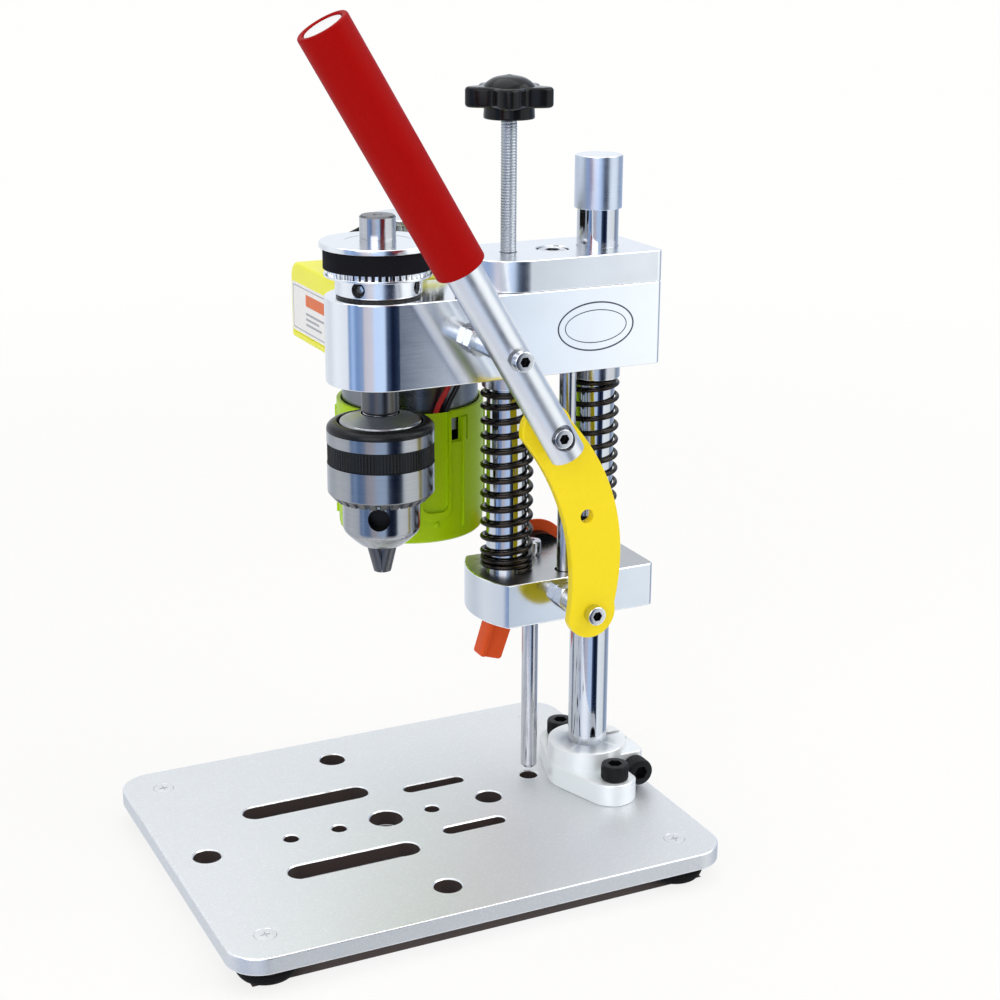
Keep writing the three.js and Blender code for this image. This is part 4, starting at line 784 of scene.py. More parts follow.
def toothedBelt():
    # A flat band along a closed path, with teeth on its inner side.
    tree, given, result = shapeTree(
        "toothedBelt",
        ("Path", geometry, None),
        ("Teeth", whole, 70),
        ("Thickness", decimal, 0.0008),
        ("Width", decimal, 0.0055),
        pieceInput,
    )
    path = addNode(tree, "GeometryNodeMeshToCurve", {"Mesh": given["Path"]}).outputs[0]
    upright = addNode(tree, "GeometryNodeSetCurveNormal", {"Curve": path}, mode="Z_UP").outputs[0]
    values = {"Width": given["Thickness"], "Height": given["Width"]}
    section = addNode(tree, "GeometryNodeCurvePrimitiveQuadrilateral", values).outputs[0]
    values = {"Curve": upright, "Profile Curve": section}
    band = addNode(tree, "GeometryNodeCurveToMesh", values).outputs[0]
    values = {"Curve": upright, "Count": given["Teeth"]}
    places = addNode(tree, "GeometryNodeResampleCurve", values).outputs[0]
    values = {"Vector": addNode(tree, "GeometryNodeInputTangent").outputs[0]}
    facing = addNode(tree, "FunctionNodeAlignRotationToVector", values, axis="X", pivot_axis="Z")
    teeth = copiesNode(tree, places, given["Piece"], Rotation=facing.outputs[0])
    joined = addNode(tree, "GeometryNodeJoinGeometry")
    for part in (teeth, band):
        tree.links.new(part, joined.inputs[0])
    return closeTree(tree, given, result, joined.outputs[0])


repeats = {
    "points": piecesOnPoints(),
    "ring": piecesInRing(),
    "spring": coilSpring(),
    "thread": threadedRod(),
    "belt": toothedBelt(),
}


def grown(name, tree, material, start=None, model=None, **values):
    # Runs one of the trees and keeps its result as a plain mesh in metres, in its place.
    source = toObject(start or bmesh.new(), name)
    modifier = source.modifiers.new(name, "NODES")
    modifier.node_group = repeats[tree]
    items = repeats[tree].interface.items_tree
    sockets = {item.name: item.identifier for item in items if item.in_out == "INPUT"}
    modifier[sockets["Material"]] = finish[material]
    template = toObject(model, name + "Model") if model else None
    if template:
        modifier[sockets["Piece"]] = template
    for label, value in values.items():
        modifier[sockets[label.replace("_", " ")]] = value
    settle(source)
    if template:
        bpy.data.objects.remove(template)
    source.data.materials.clear()
    source.data.materials.append(finish[material])
    for face in source.data.polygons:
        face.material_index = 0
        face.use_smooth = True
    source.data.set_sharp_from_angle(angle=edgeTurn)
    return source


def inMetres(form):
    form.transform(Matrix.Scale(mm, 4))
    return form


def height(z):
    return (z + plateTop) * mm


def spot(x, y, z=0):
    # A place in metres from one in millimetres.
    return (x * mm, y * mm, height(z))


def pointForm(places):
    form = bmesh.new()
    for place in places:
        form.verts.new(spot(*place))
    return form


def merged(name, pieces):
    # Several settled objects become one, with each one's own material kept.
    form = bmesh.new()
    materials = []
    for piece in pieces:
        names = [slot.name for slot in piece.data.materials]
        first = len(form.faces)
        form.from_mesh(piece.data)
        form.faces.ensure_lookup_table()
        for face in form.faces[first:]:
            label = names[face.material_index]
            if label not in materials:
                materials.append(label)
            face.material_index = materials.index(label)
    result = toObject(form, name)
    for label in materials:
        result.data.materials.append(bpy.data.materials[label])
    for piece in pieces:
        bpy.data.objects.remove(piece)
    return result


print("shape tools: ready")


# screws
def capScrewForm(shank, length, head, headHeight, socket, depth, edge=0.4):
    # Socket head screw on Z: its seat is at zero and the shank points down.
    floor = headHeight - depth
    blank = turned([
        (0, -length), (shank - 0.3, -length), (shank, -length + 0.3), (shank, 0),
        (head - edge * 0.5, 0, 0.2), (head, edge), (head, headHeight, edge), (0, headHeight),
    ], 48)
    hexCut = sharpPrism(hexagon(socket), floor, headHeight + 1)
    cone = turned([(0, floor - 0.5), (socket * 0.8, floor + 0.05), (0, floor + 0.05)], 24)
    return carved(blank, [hexCut, cone])


def knurlRidge(radius, low, high, width, proud):
    # One upright ridge on +X for a ring of them.
    form = bmesh.new()
    root = radius - 0.05
    tip = radius + proud
    rows = []
    for z, reach in ((low, root), (low + proud, tip), (high - proud, tip), (high, root)):
        corners = ((root, -width / 2, z), (reach, 0, z), (root, width / 2, z))
        rows.append([form.verts.new(corner) for corner in corners])
    for lower, upper in zip(rows, rows[1:]):
        for i in range(2):
            form.faces.new((lower[i], lower[i + 1], upper[i + 1], upper[i]))
        form.faces.new((lower[2], lower[0], upper[0], upper[2]))
    bmesh.ops.remove_doubles(form, verts=form.verts, dist=1e-5)
    bmesh.ops.recalc_face_normals(form, faces=form.faces)
    return form


# table plate
tablePlate = {
    "halfWidth": 60,
    "halfDepth": 75,
    "thickness": 5,
    "corner": 10,
    "edge": 0.45,
    "drillHole": 5,
    "boltHole": 4,
    "boltHoles": [(-45, -8.5), (45, -8.5), (0, -64), (0, 25.5)],
    "smallHole": 2.25,
    "smallHoles": [(0, -38.5), (0, -23.5), (0, 6.5)],
    "wideSlot": (40, 8),
    "wideSlots": [(-20, -26.5), (20, -26.5)],
    "thinSlot": (20, 4.5),
    "thinSlots": [(-15, 13.7), (15, 13.7)],
    "screwHole": 2.8,
    "flangeHoles": [(-18, columnY), (18, columnY)],
    "footHole": 1.65,
    "footPlaces": [(-48, -63), (48, -63), (-48, 63), (48, 63)],
    # reach of the areas that hold every slot and drilled hole, whose walls get painted shade
    "drilledAreas": [(26, 70), (50, 30)],
}


def buildTablePlate():
    size = tablePlate
    low = -size["thickness"]
    corner = (size["halfWidth"], size["halfDepth"])
    outer = roundRect((-corner[0], -corner[1]), corner, size["corner"], 16)
    chamfer = [(0.3, low), (0, low + 0.3), (0, -0.35), (0.35, 0)]
    sink = [(0, low), (0, -1.7), (1.35, -0.2), (1.5, 0)]
    holes = [(circle(0, spindleY, size["drillHole"], 48), chamfer)]
    holes += [(circle(x, y, size["boltHole"], 40), chamfer) for x, y in size["boltHoles"]]
    holes += [(circle(x, y, size["smallHole"], 32), chamfer) for x, y in size["smallHoles"]]
    holes += [(slotLoop(x, y, *size["wideSlot"]), chamfer) for x, y in size["wideSlots"]]
    holes += [(slotLoop(x, y, *size["thinSlot"]), chamfer) for x, y in size["thinSlots"]]
    holes += [circle(x, y, size["screwHole"], 24) for x, y in size["flangeHoles"]]
    holes.append((circle(*lowerRodPlace, size["screwHole"], 32), chamfer))
    holes += [(circle(x, y, size["footHole"], 32), sink) for x, y in size["footPlaces"]]

    def paint(centre):
        # Painted shade: the walls inside the slots and holes take the dark slot finish.
        areas = size["drilledAreas"]
        drilled = any(abs(centre.x) < x and abs(centre.y) < y for x, y in areas)
        return 1 if drilled and low + 0.5 < centre.z < -0.35 else 0

    form = prism(outer, holes, low, 0, size["edge"])
    makePiece("tablePlate", form, "base", ["plate", "slot"], ["base_plate"], paint)


foot = {
    "radius": 9, "waist": 8.75, "height": 6, "groove": 0.35, "crossLength": 1.3, "crossWidth": 0.25,
}


def buildFeet():
    size = foot
    top = -tablePlate["thickness"]
    bottom = top - size["height"]
    middle = (top + bottom) / 2
    places = [(x, y, 0) for x, y in tablePlate["footPlaces"]]
    pad = turned([
        (0, bottom + 2.4), (2.6, bottom + 2.4, 0.4), (3.0, bottom + 0.5, 0.4), (3.6, bottom),
        (7.0, bottom), (7.4, bottom, 0.3), (8.4, bottom + 1.4, 0.6), (size["waist"], middle, 0.2),
        (size["waist"] - size["groove"], middle + 0.35, 0.1), (8.85, middle + 0.7, 0.2),
        (size["radius"], top - 0.3, 0.2), (size["radius"] - 0.3, top), (0, top),
    ], 56)
    feet = grown("rubberFeet", "points", "rubber", pointForm(places), inMetres(pad))
    seat(feet, "base", ["foot_1", "foot_2", "foot_3", "foot_4"])
    profile = [
        (0, -6), (1.5, -6), (1.5, -1.6, 0.2), (2.9, -0.25, 0.1), (3.02, -0.05, 0.05), (0, -0.05),
    ]
    long, short = size["crossLength"], size["crossWidth"]
    bars = [roundRect((-x, -y), (x, y), 0.1, 2) for x, y in ((long, short), (short, long))]
    head = carved(turned(profile, 40), [sharpPrism(loop, -0.45, 1) for loop in bars])
    screws = grown("footScrews", "points", "plate", pointForm(places), inMetres(head))
    nodes = ["foot_screw_1", "foot_screw_2", "foot_screw_3", "foot_screw_4"]
    seat(screws, "base", nodes)


# column and its flange
flange = {
    "radius": 12.5,
    "endRadius": 7.5,
    "endReach": 16,
    "height": 7,
    "bossRadius": 12.2,
    "bossHeight": 13,
    "halfSlit": 0.8,
    "boltReach": 18,
    "clampY": 10.6,
    "clampZ": 5.6,
}


def buildFlange():
    size = flange
    radius, reach = size["radius"], size["endReach"]
    normal = math.degrees(math.acos((radius - size["endRadius"]) / reach))
    loop = arc(reach, 0, size["endRadius"], -normal, normal, 20)
    loop += arc(0, 0, radius, normal, 180 - normal, 16)
    loop += arc(-reach, 0, size["endRadius"], 180 - normal, 180 + normal, 20)
    loop += arc(0, 0, radius, 180 + normal, 360 - normal, 16)
    base = prism(loop, [], 0, size["height"], 0.5)
    boss = bar(size["bossRadius"], 0.5, size["bossHeight"], 72, 0, 0.5)
    ear = prism(roundRect((-10.5, 0), (10.5, 14.8), 2.5, 8), [], 0.05, 10.5, 0.5)
    bore = turned([(0, -1), (6.05, -1), (6.05, 12.6), (6.6, 13.3), (0, 13.3)], 72)
    slitLoop = roundRect((-size["halfSlit"], 3), (size["halfSlit"], 20), 0.1, 1)
    clampPlace = (0, size["clampY"], size["clampZ"], alongX)
    cutters = [
        bore,
        sharpPrism(slitLoop, -1, 15),
        placed(bar(2.3, -12, 12), *clampPlace),
        placed(bar(4.6, 10.6, 26, 40), *clampPlace),
    ]
    cutters += [placed(bar(2.8, -1, 8), side * size["boltReach"]) for side in (-1, 1)]
    body = placed(carved(united(base, [boss, ear]), cutters), 0, columnY)
    makePiece("columnFlange", body, "base", "flange", ["column_flange"])


flangeScrew = {"shank": 2.5, "head": 4.08, "headHeight": 5, "socket": 2.25, "ridges": 44, "x": 10.8}


def knurledScrews(name, length, places):
    # Black socket screws and a ring of ridges round each head.
    size = flangeScrew
    shape = capScrewForm(
        size["shank"], length, size["head"], size["headHeight"], size["socket"], 2.5,
    )
    pieces = [grown(name, "points", "blackened", pointForm(places), inMetres(shape))]
    for index, place in enumerate(places):
        ridge = inMetres(knurlRidge(size["head"], 0.5, 4.5, 0.5, 0.12))
        values = {"Count": size["ridges"], "Centre": spot(*place)}
        pieces.append(grown(name + str(index), "ring", "blackened", None, ridge, **values))
    return pieces


def buildFlangeScrews():
    places = [(x, y, flange["height"]) for x, y in tablePlate["flangeHoles"]]
    bolts = merged("flangeBolts", knurledScrews("flangeBolts", 11.5, places))
    seat(bolts, "base", ["flange_bolt_1", "flange_bolt_2"])
    side = knurledScrews("clampScrewHead", 20, [(0, 0, -plateTop)])
    side = merged("flangeClampScrew", side)
    place = spot(flangeScrew["x"], columnY + flange["clampY"], flange["clampZ"])
    side.data.transform(Matrix.Translation(place) @ alongX)
    seat(side, "base", ["flange_clamp_screw"])


column = {"top": 191.8, "capRadius": 6.85, "capBottom": 178.8, "capTop": 193.9, "capWeb": 1.7}


def shaftForm(low, high):
    # Ground 12 mm shaft with chamfered ends.
    profile = [(0, low), (5.4, low), (6, low + 0.6), (6, high - 0.6), (5.4, high), (0, high)]
    return turned(profile, 72)


def buildColumn():
    size = column
    rod = placed(shaftForm(0, size["top"]), 0, columnY)
    makePiece("column", rod, "base", "column", ["column"])
    radius, bottom, top = size["capRadius"], size["capBottom"], size["capTop"]
    web = top - size["capWeb"]
    profile = [
        (6.05, bottom), (radius, bottom, 0.3), (radius, top, 0.5), (0, top), (0, web), (6.05, web),
    ]
    cap = placed(turned(profile, 72, closed=True), 0, columnY)

    def paint(centre):
        # Painted highlight: the top face takes the brighter pulley finish, so it reads lighter than
        # the sides.
        return 1 if centre.z > top - 0.3 else 0

    makePiece("columnCap", cap, "base", ["cap", "pulley"], ["column_cap"], paint)


# bracket
bracket = {
    "halfWidth": 15,
    "bottom": 60.4,
    "top": 73.7,
    "front": 20,
    "frontRadius": 26.5,
    "rear": 73,
    "corner": 2,
    "edge": 0.45,
    "clampHole": 2.6,
}


def rearCorners(halfWidth, rear, corner):
    x, y = halfWidth - corner, rear - corner
    return arc(x, y, corner, 0, 90, 8) + arc(-x, y, corner, 90, 180, 8)


def buildLowerBlock():
    size = bracket
    radius = size["frontRadius"]
    half = math.degrees(math.asin(size["halfWidth"] / radius))
    loop = arc(0, size["front"] + radius, radius, 270 - half, 270 + half, 32)
    loop += rearCorners(size["halfWidth"], size["rear"], size["corner"])
    holes = [circle(0, columnY, 6.05, 64), circle(0, guideY, 6.02, 64)]
    holes += [circle(*lowerRodPlace, 2.6, 32), circle(*guideRodPlace, 3.1, 32)]
    form = prism(loop, holes, size["bottom"], size["top"], size["edge"])
    form = carved(
        form, [placed(bar(size["clampHole"], -16, -5), 0, clamp["y"], clamp["z"], alongX)],
    )

    def paint(centre):
        # Painted shade: the top face takes a darker finish, for the shade under the head.
        return 1 if centre.z > size["top"] - 0.1 else 0

    materials = ["lowBlock", "lowTop"]
    makePiece("lowerBlock", form, "bracket", materials, ["lower_block"], paint)


def buildGuides():
    shaft = placed(shaftForm(61, 138.7), 0, guideY)
    makePiece("guideShaft", shaft, "bracket", "guide", ["guide_shaft"])
    rod = capScrewForm(2.5, 70.2, 3.1, 4, 1.3, 1.0, 0.7)
    tip = turned([(0, -70.9), (1.9, -70.9, 0.3), (2.5, -70), (0, -70)], 40)
    form = placed(gathered(rod, tip), *lowerRodPlace, 74)
    makePiece("lowerRod", form, "bracket", "steel", ["lower_rod"])


clamp = {
    "y": 50,
    "z": 69,
    "lean": -18,
    "armLength": 37,
    "armHalf": 4.35,
    "armX": (-31, -25),
    "armGroove": 1.5,
    "hubStart": -19.3,
    "hubEnd": -33.9,
}


def buildClamp():
    size = clamp
    stud = turned([
        (0, -30.5), (2.3, -30.5), (2.5, -30.2), (2.5, -19, 0.1), (8.0, -19, 0.4),
        (8.0, -15.2), (2.5, -15.2), (2.5, -5), (0, -5),
    ], 48)
    stud = placed(stud, 0, size["y"], size["z"], alongX)
    makePiece("clampStud", stud, "bracket", "blackened", ["clamp_stud"])
    start, end = size["hubStart"], size["hubEnd"]
    hub = turned([
        (0, end), (3.6, end, 0.3), (4.2, end + 0.9, 0.3), (7.2, end + 0.1, 0.9),
        (7.9, end + 4, 0.4), (10.4, start - 3, 1.2), (11.6, start, 0.8), (6.6, start, 0.3),
        (6.3, start - 0.7, 0.2), (2.8, start - 0.7), (2.8, -31.2), (0, -31.2),
    ], 64, closed=True)
    half = size["armHalf"]
    tip = half - size["armLength"]
    loop = arc(0, 0, half + 0.6, 10, 170, 16)
    loop += arc(1 - half, tip - half + 1.1, 1.1, 180, 270, 6)
    loop += arc(half - 1.6, tip - half + 1.1, 1.1, 270, 360, 6)
    low, high = size["armX"]
    arm = prism(loop, [], low, high, 0.9, steps=4)
    recess = roundRect((1.6 - half, tip - half - 2), (half + 2, -11), 0.8, 3)
    groove = size["armGroove"]
    grooves = [
        sharpPrism(recess, high - groove, high + 1), sharpPrism(recess, low - 1, low + groove),
    ]
    arm = placed(carved(arm, grooves), turn=spin("X", size["lean"]) @ alongX)
    bore = placed(bar(2.7, -31.1, -19, 40), turn=alongX)
    body = carved(united(placed(hub, turn=alongX), [arm]), [bore])
    body = placed(body, 0, size["y"], size["z"])
    makePiece("clampHandle", body, "clamp", "handle", ["clamp_handle"])


springSpan = (73.75, 129.25)
springs = {
    "frontSpring": {
        "node": "front_spring", "y": guideY, "outer": 7.85, "wire": 1.5,
        "low": 2.5, "open": 11.0, "high": 1.0, "closedPitch": 1.62,
    },
    "rearSpring": {
        "node": "rear_spring", "y": columnY, "outer": 7.45, "wire": 1.2,
        "low": 1.5, "open": 11.6, "high": 1.0, "closedPitch": 1.32,
    },
}


def buildSprings():
    for name, size in springs.items():
        wire = size["wire"]
        closed = (size["low"] + size["high"]) * size["closedPitch"]
        climb = springSpan[1] - springSpan[0] - wire - closed
        values = {
            "Coil_Radius": (size["outer"] - wire / 2) * mm,
            "Wire_Radius": wire / 2 * mm,
            "Low_Curls": size["low"],
            "Open_Curls": size["open"],
            "High_Curls": size["high"],
            "Open_Pitch": climb / size["open"] * mm,
            "Closed_Pitch": size["closedPitch"] * mm,
            "Centre": spot(0, size["y"], springSpan[0] + wire / 2),
        }
        spring = grown(name, "spring", "spring", **values)
        seat(spring, "bracket", [size["node"]])
        base = spot(0, size["y"], bracket["top"])
        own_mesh(spring)


# drill head
head = {
    "halfWidth": 15,
    "bottom": 135,
    "top": 159,
    "plateTop": 168,
    "rear": 73,
    "corner": 2,
    "edge": 0.4,
    "bushHole": 7.5,
    "screwY": 45,
    "screwZ": 162.7,
}


def headLoop(frontY):
    front = arc(0, frontY, head["halfWidth"], 180, 360, 64)
    return front + rearCorners(head["halfWidth"], head["rear"], head["corner"])


def buildHead():
    size = head
    holes = [circle(0, spindleY, 8.5, 64)]
    holes += [circle(0, y, size["bushHole"], 64) for y in (guideY, columnY)]
    block = prism(headLoop(spindleY), holes, size["bottom"], size["top"], size["edge"])
    lowSeat = placed(bar(11.15, 134, 141.2, 72), 0, spindleY)
    block = carved(block, [lowSeat, placed(bar(2.6, 134, 148), *guideRodPlace)])
    makePiece("headBlock", block, "head", "block", ["head_block"])
    holes = [circle(0, guideY, 2.5, 32), circle(0, columnY, 6.08, 64)]
    top = prism(headLoop(guideY), holes, size["top"] + 0.02, size["plateTop"], size["edge"])
    sink = turned([(0, 162.6), (4.75, 162.6), (4.75, 167.7), (5.1, 168.1), (0, 168.1)], 56)
    top = carved(top, [placed(sink, 0, size["screwY"])])
    makePiece("topPlate", top, "head", "topBlock", ["top_plate"])
    screw = placed(capScrewForm(2.5, 14, 4.2, 5, 2.25, 2.6), 0, size["screwY"], size["screwZ"])
    makePiece("topPlateScrew", screw, "head", "steel", ["top_plate_screw"])


bearing = {"height": 6, "places": {"lower": 135.15, "upper": 152.85}}


def buildBushes():
    for side, y in (("front", guideY), ("rear", columnY)):
        bush = placed(collar(6.06, 7.4, 129.3, 158.6, 0.35), 0, y)
        makePiece(side + "Bush", bush, "head", "steel", [side + "_bush"])
    rod = turned([(0, 66), (2.1, 66), (2.5, 66.4), (2.5, 147), (0, 147)], 48)
    rod = placed(rod, *guideRodPlace)
    makePiece("guideRod", rod, "head", "steel", ["guide_rod"])
    for side, low in bearing["places"].items():
        high = low + bearing["height"]
        outer = collar(9.3, 11, low, high, 0.3, 0.3)
        inner = collar(5.2, 6.9, low, high, 0.2, 0.2)
        shield = collar(6.8, 9.4, low + 0.35, high - 0.35)
        form = placed(gathered(outer, inner, shield), 0, spindleY)
        makePiece(side + "Bearing", form, "head", "steel", [side + "_bearing"])
    washer = placed(collar(5.2, 11.7, 159.02, 159.5, 0, 0.15), 0, spindleY)
    makePiece("spindleWasher", washer, "head", "blackened", ["spindle_washer"])


sticker = {"y": 51.4, "z": 147.8, "halfWidth": 12.2, "halfHeight": 7.1, "line": 0.45, "inset": 2.3}


def ovalLoop(width, height):
    turns = [math.tau * step / 72 for step in range(72)]
    return [Vector((width * math.cos(turn), height * math.sin(turn))) for turn in turns]


def buildSticker():
    # A plain inspection sticker: two oval rings with nothing inside.
    size = sticker
    rings = []
    for outer, line, top in ((0, size["line"], 0.05), (size["inset"], size["line"] * 0.6, 0.045)):
        loops = [
            ovalLoop(size["halfWidth"] - x, size["halfHeight"] - x) for x in (outer, outer + line)
        ]
        rings.append(prism(loops[0], [loops[1]], 0.005, top, 0, 0))
    form = placed(gathered(*rings), head["halfWidth"], size["y"], size["z"], alongX)
    makePiece("headSticker", form, "head", "ink", [])


# spindle, pulleys and belt
spindle = {"radius": 5, "top": 181, "shoulder": 5.3, "low": 106.4, "paintedShadeBelow": 131}


def buildSpindle():
    size = spindle
    radius, shoulder, low, top = size["radius"], size["shoulder"], size["low"], size["top"]
    rod = turned([
        (0, low), (4.2, low), (4.9, 125.7), (shoulder - 0.5, 125.8), (shoulder, 126.5, 0.2),
        (shoulder, 134.3, 0.2), (radius, 134.8), (radius, top - 0.5), (radius - 0.5, top),
        (1.4, top), (0, top - 1.2),
    ], 72)

    def paint(centre):
        # Painted shade: the lower end of the spindle takes the dark jaw finish, for the shade under
        # the head; the top end takes it too.
        return 1 if centre.z > top - 0.4 or centre.z < size["paintedShadeBelow"] else 0

    rod = placed(rod, 0, spindleY)
    makePiece("spindle", rod, "spindle", ["spindle", "jaw"], ["spindle"], paint)


pulley = {
    "teeth": 45,
    "tip": 13.9,
    "depth": 0.9,
    "flange": 16.1,
    "flangeLow": 172.4,
    "top": 174,
    "rimLow": 164.6,
    "rim": 15.0,
    "hub": 12,
    "low": 159.7,
    "screwZ": 162.2,
    "screwTurns": (-49.5, 40.5),
}


def toothRing(name, tip, teeth, low, place, material):
    # Ring of belt tooth lands with slanted flanks and rounded tips.
    root = tip - pulley["depth"] - 0.2
    pitch = math.tau * tip / teeth
    flank = tip - 0.22
    section = polygon(
        (root, -0.34 * pitch), (flank, -0.24 * pitch), (tip, -0.16 * pitch),
        (tip, 0.16 * pitch), (flank, 0.24 * pitch), (root, 0.34 * pitch),
    )
    land = inMetres(sharpPrism(section, low - 0.1, pulley["flangeLow"] + 0.1))
    return grown(name, "ring", material, None, land, Count=teeth, Centre=spot(*place))


def buildSpindlePulley():
    size = pulley
    hub, rim, wide = size["hub"], size["rim"], size["flange"]
    rimLow, flangeLow, top = size["rimLow"], size["flangeLow"], size["top"]
    rimTop = rimLow + 0.7
    root = size["tip"] - size["depth"]
    body = turned([
        (5.05, size["low"]), (hub, size["low"], 0.35), (hub, rimLow - 0.3, 0.25),
        (rim, rimLow, 0.25), (rim, rimTop, 0.2), (root, rimTop), (root, flangeLow),
        (wide, flangeLow, 0.3), (wide, top, 0.45), (9.4, top), (9.2, top - 0.12),
        (5.05, top - 0.12),
    ], 96, closed=True)
    cutters = []
    screws = []
    for turn in size["screwTurns"]:
        lying = spin("Z", turn) @ Matrix.Translation((0, 0, size["screwZ"])) @ alongX
        bore = turned([(0, 9.8), (1.9, 9.8), (1.9, 11.6), (2.25, 12.3), (0, 12.3)], 40)
        cutters.append(placed(bore, turn=lying))
        grub = carved(bar(1.82, 8, 10.9, 40, 0, 0.25), [sharpPrism(hexagon(1.15), 9.6, 12)])
        screws.append(placed(grub, turn=lying))
    body = placed(carved(body, cutters), 0, spindleY)

    def paint(centre):
        # Painted shade: the roots in the gaps between the teeth take the blackened finish.
        reach = math.hypot(centre.x, centre.y - spindleY)
        return 1 if rimTop < centre.z < flangeLow and abs(reach - root) < 0.1 else 0

    materials = ["pulley", "blackened"]
    plain = makePiece("pulleyBody", body, "spindle", materials, [], paint)
    screws = placed(gathered(*screws), 0, spindleY)
    grubs = makePiece("pulleyScrews", screws, "spindle", "blackened", [])
    teeth = toothRing("pulleyTeeth", size["tip"], size["teeth"], rimTop, (0, spindleY), "pulley")
    pieces = merged("spindlePulley", [plain, grubs, teeth])
    seat(pieces, "spindle", ["spindle_pulley"])


motorPulley = {
    "teeth": 30, "tip": 13.9 * 30 / 45, "flange": 11.6, "low": 159.6, "drum": 7, "bore": 2.6,
}


def buildMotorPulley():
    size = motorPulley
    bore, wide, low = size["bore"], size["flange"], size["low"]
    flangeLow, top = pulley["flangeLow"], pulley["top"]
    root = size["tip"] - pulley["depth"]
    drumLow = flangeLow - size["drum"]
    body = turned([
        (bore, low), (5.4, low, 0.3), (5.4, drumLow - 1.2), (wide, drumLow - 1, 0.25),
        (wide, drumLow + 0.4, 0.3), (root, drumLow + 0.4), (root, flangeLow),
        (wide, flangeLow, 0.25), (wide, top, 0.4), (bore, top),
    ], 80, closed=True)
    body = placed(body, *motorPlace)
    plain = makePiece("motorPulleyBody", body, "motor_drive", "motorPulley", [])
    teeth = toothRing(
        "motorPulleyTeeth", size["tip"], size["teeth"], drumLow + 0.4, motorPlace, "motorPulley"
    )
    seat(merged("motorPulley", [plain, teeth]), "motor_drive", ["motor_pulley"])
    shaft = turned([(0, 115.4), (2.5, 115.4), (2.5, 173.4, 0.2), (2.1, 173.8), (0, 173.8)], 40)
    shaft = placed(shaft, *motorPlace)
    makePiece("motorShaft", shaft, "motor_drive", "steel", ["motor_shaft"])


belt = {
    "thickness": 0.85,
    "width": 5.4,
    "toothDepth": 0.5,
    "toothRoot": 0.62,
    "toothTip": 0.36,
    "pitch": 1.94,
    "low": 166.75,
    "clearance": 0.28,
}


def buildBelt():
    size = belt
    offset = size["clearance"] + size["thickness"] / 2 + 0.1
    large = pulley["tip"] + offset
    small = motorPulley["tip"] + offset
    reach = Vector((motorPlace[0], motorPlace[1] - spindleY))
    line = math.degrees(math.atan2(reach.y, reach.x))
    spread = math.degrees(math.acos((large - small) / reach.length))
    loop = arc(0, spindleY, large, line + spread, line - spread + 360, 72)
    loop += arc(*motorPlace, small, line - spread, line + spread, 36)
    middle = size["low"] + size["width"] / 2
    path = pointForm([(point.x, point.y, middle) for point in loop])
    path.verts.ensure_lookup_table()
    for i in range(len(loop)):
        path.edges.new((path.verts[i - 1], path.verts[i]))
    length = sum((loop[i] - loop[i - 1]).length for i in range(len(loop)))
    inner = size["thickness"] / 2
    tip = inner + size["toothDepth"]
    wide, narrow = size["toothRoot"], size["toothTip"]
    section = polygon((-wide, 0.1 - inner), (wide, 0.1 - inner), (narrow, -tip), (-narrow, -tip))
    half = size["width"] / 2
    tooth = inMetres(sharpPrism(section, -half, half))
    values = {"Thickness": size["thickness"] * mm, "Width": size["width"] * mm}
    values = {"Teeth": round(length / size["pitch"]), **values}
    band = grown("driveBelt", "belt", "belt", path, tooth, **values)
    seat(band, "head", ["drive_belt"])


# chuck
chuck = {
    "sleeve": 15.2,
    "body": 11.05,
    "teeth": 28,
    "ridges": 96,
    "keyHeight": 97.4,
    "keyHole": 3.1,
    "keyTurn": -26.3,
    "jaws": 3,
    "jaw": 2.6,
    "jawOffset": -0.2,
    "tilt": 15,
    "jawTip": 79,
    "jawTop": 96,
    "jawBore": 28,
    "parting": 0.06,
}


def jawTurn(index):
    return spin("Z", chuck["keyTurn"] + 60 + index * 120)


def leanedJaw(form):
    return placed(form, chuck["jawOffset"], 0, chuck["jawTip"], spin("Y", chuck["tilt"]))


def buildChuckBody():
    size = chuck
    radius = size["body"]
    body = turned([
        (0, 87), (5.2, 87, 0.3), (6.3, 87.3, 0.5), (8.7, 89.3, 1.8), (radius, 91.8, 1.2),
        (radius, 120), (11.5, 120.4), (11.65, 123.3, 0.25), (11.2, 123.8, 0.2), (5.9, 125.5, 0.3),
        (5.5, 125.6), (4.6, 106.2), (0, 106.2),
    ], 96)
    mouth = turned([(0, 86), (4.4, 86), (3.4, 88.4), (3.2, 105), (0, 105)], 48)
    cutters = [placed(mouth, 0, spindleY)]
    keys = []
    for index in range(size["jaws"]):
        turn = spin("Z", size["keyTurn"] + index * 120)
        keys.append(turn @ Vector((1, 0, 0)))
        hole = size["keyHole"]
        key = turned([(0, 6.6), (hole, 6.6), (hole, 10.6), (hole + 0.3, 11.4), (0, 11.4)], 48)
        cutters.append(placed(placed(key, 0, 0, size["keyHeight"], alongX), 0, spindleY, 0, turn))
        bore = leanedJaw(bar(size["jaw"] + 0.15, 0, size["jawBore"], 48))
        cutters.append(placed(bore, 0, spindleY, 0, jawTurn(index)))

    def paint(centre):
        # Painted shade: the inside of the drilled key holes takes the blackened finish.
        own = Vector((centre.x, centre.y - spindleY, centre.z - size["keyHeight"]))
        for along in keys:
            depth = own.dot(along)
            inside = depth > 6 and (own - along * depth).length < size["keyHole"] + 0.1
            if inside and own.xy.length < radius - 0.5:
                return 1
        return 2 if centre.z > 123.85 else 0

    body = carved(placed(body, 0, spindleY), cutters)
    materials = ["chuck", "blackened", "thread"]
    makePiece("chuckBody", body, "spindle", materials, ["chuck_body"], paint)


def asForm(piece):
    # A grown piece back as a form in millimetres from the plate's top, to cut with.
    form = bmesh.new()
    form.from_mesh(piece.data)
    form.transform(Matrix.Translation((0, 0, -plateTop)) @ Matrix.Scale(1 / mm, 4))
    bpy.data.objects.remove(piece)
    return form


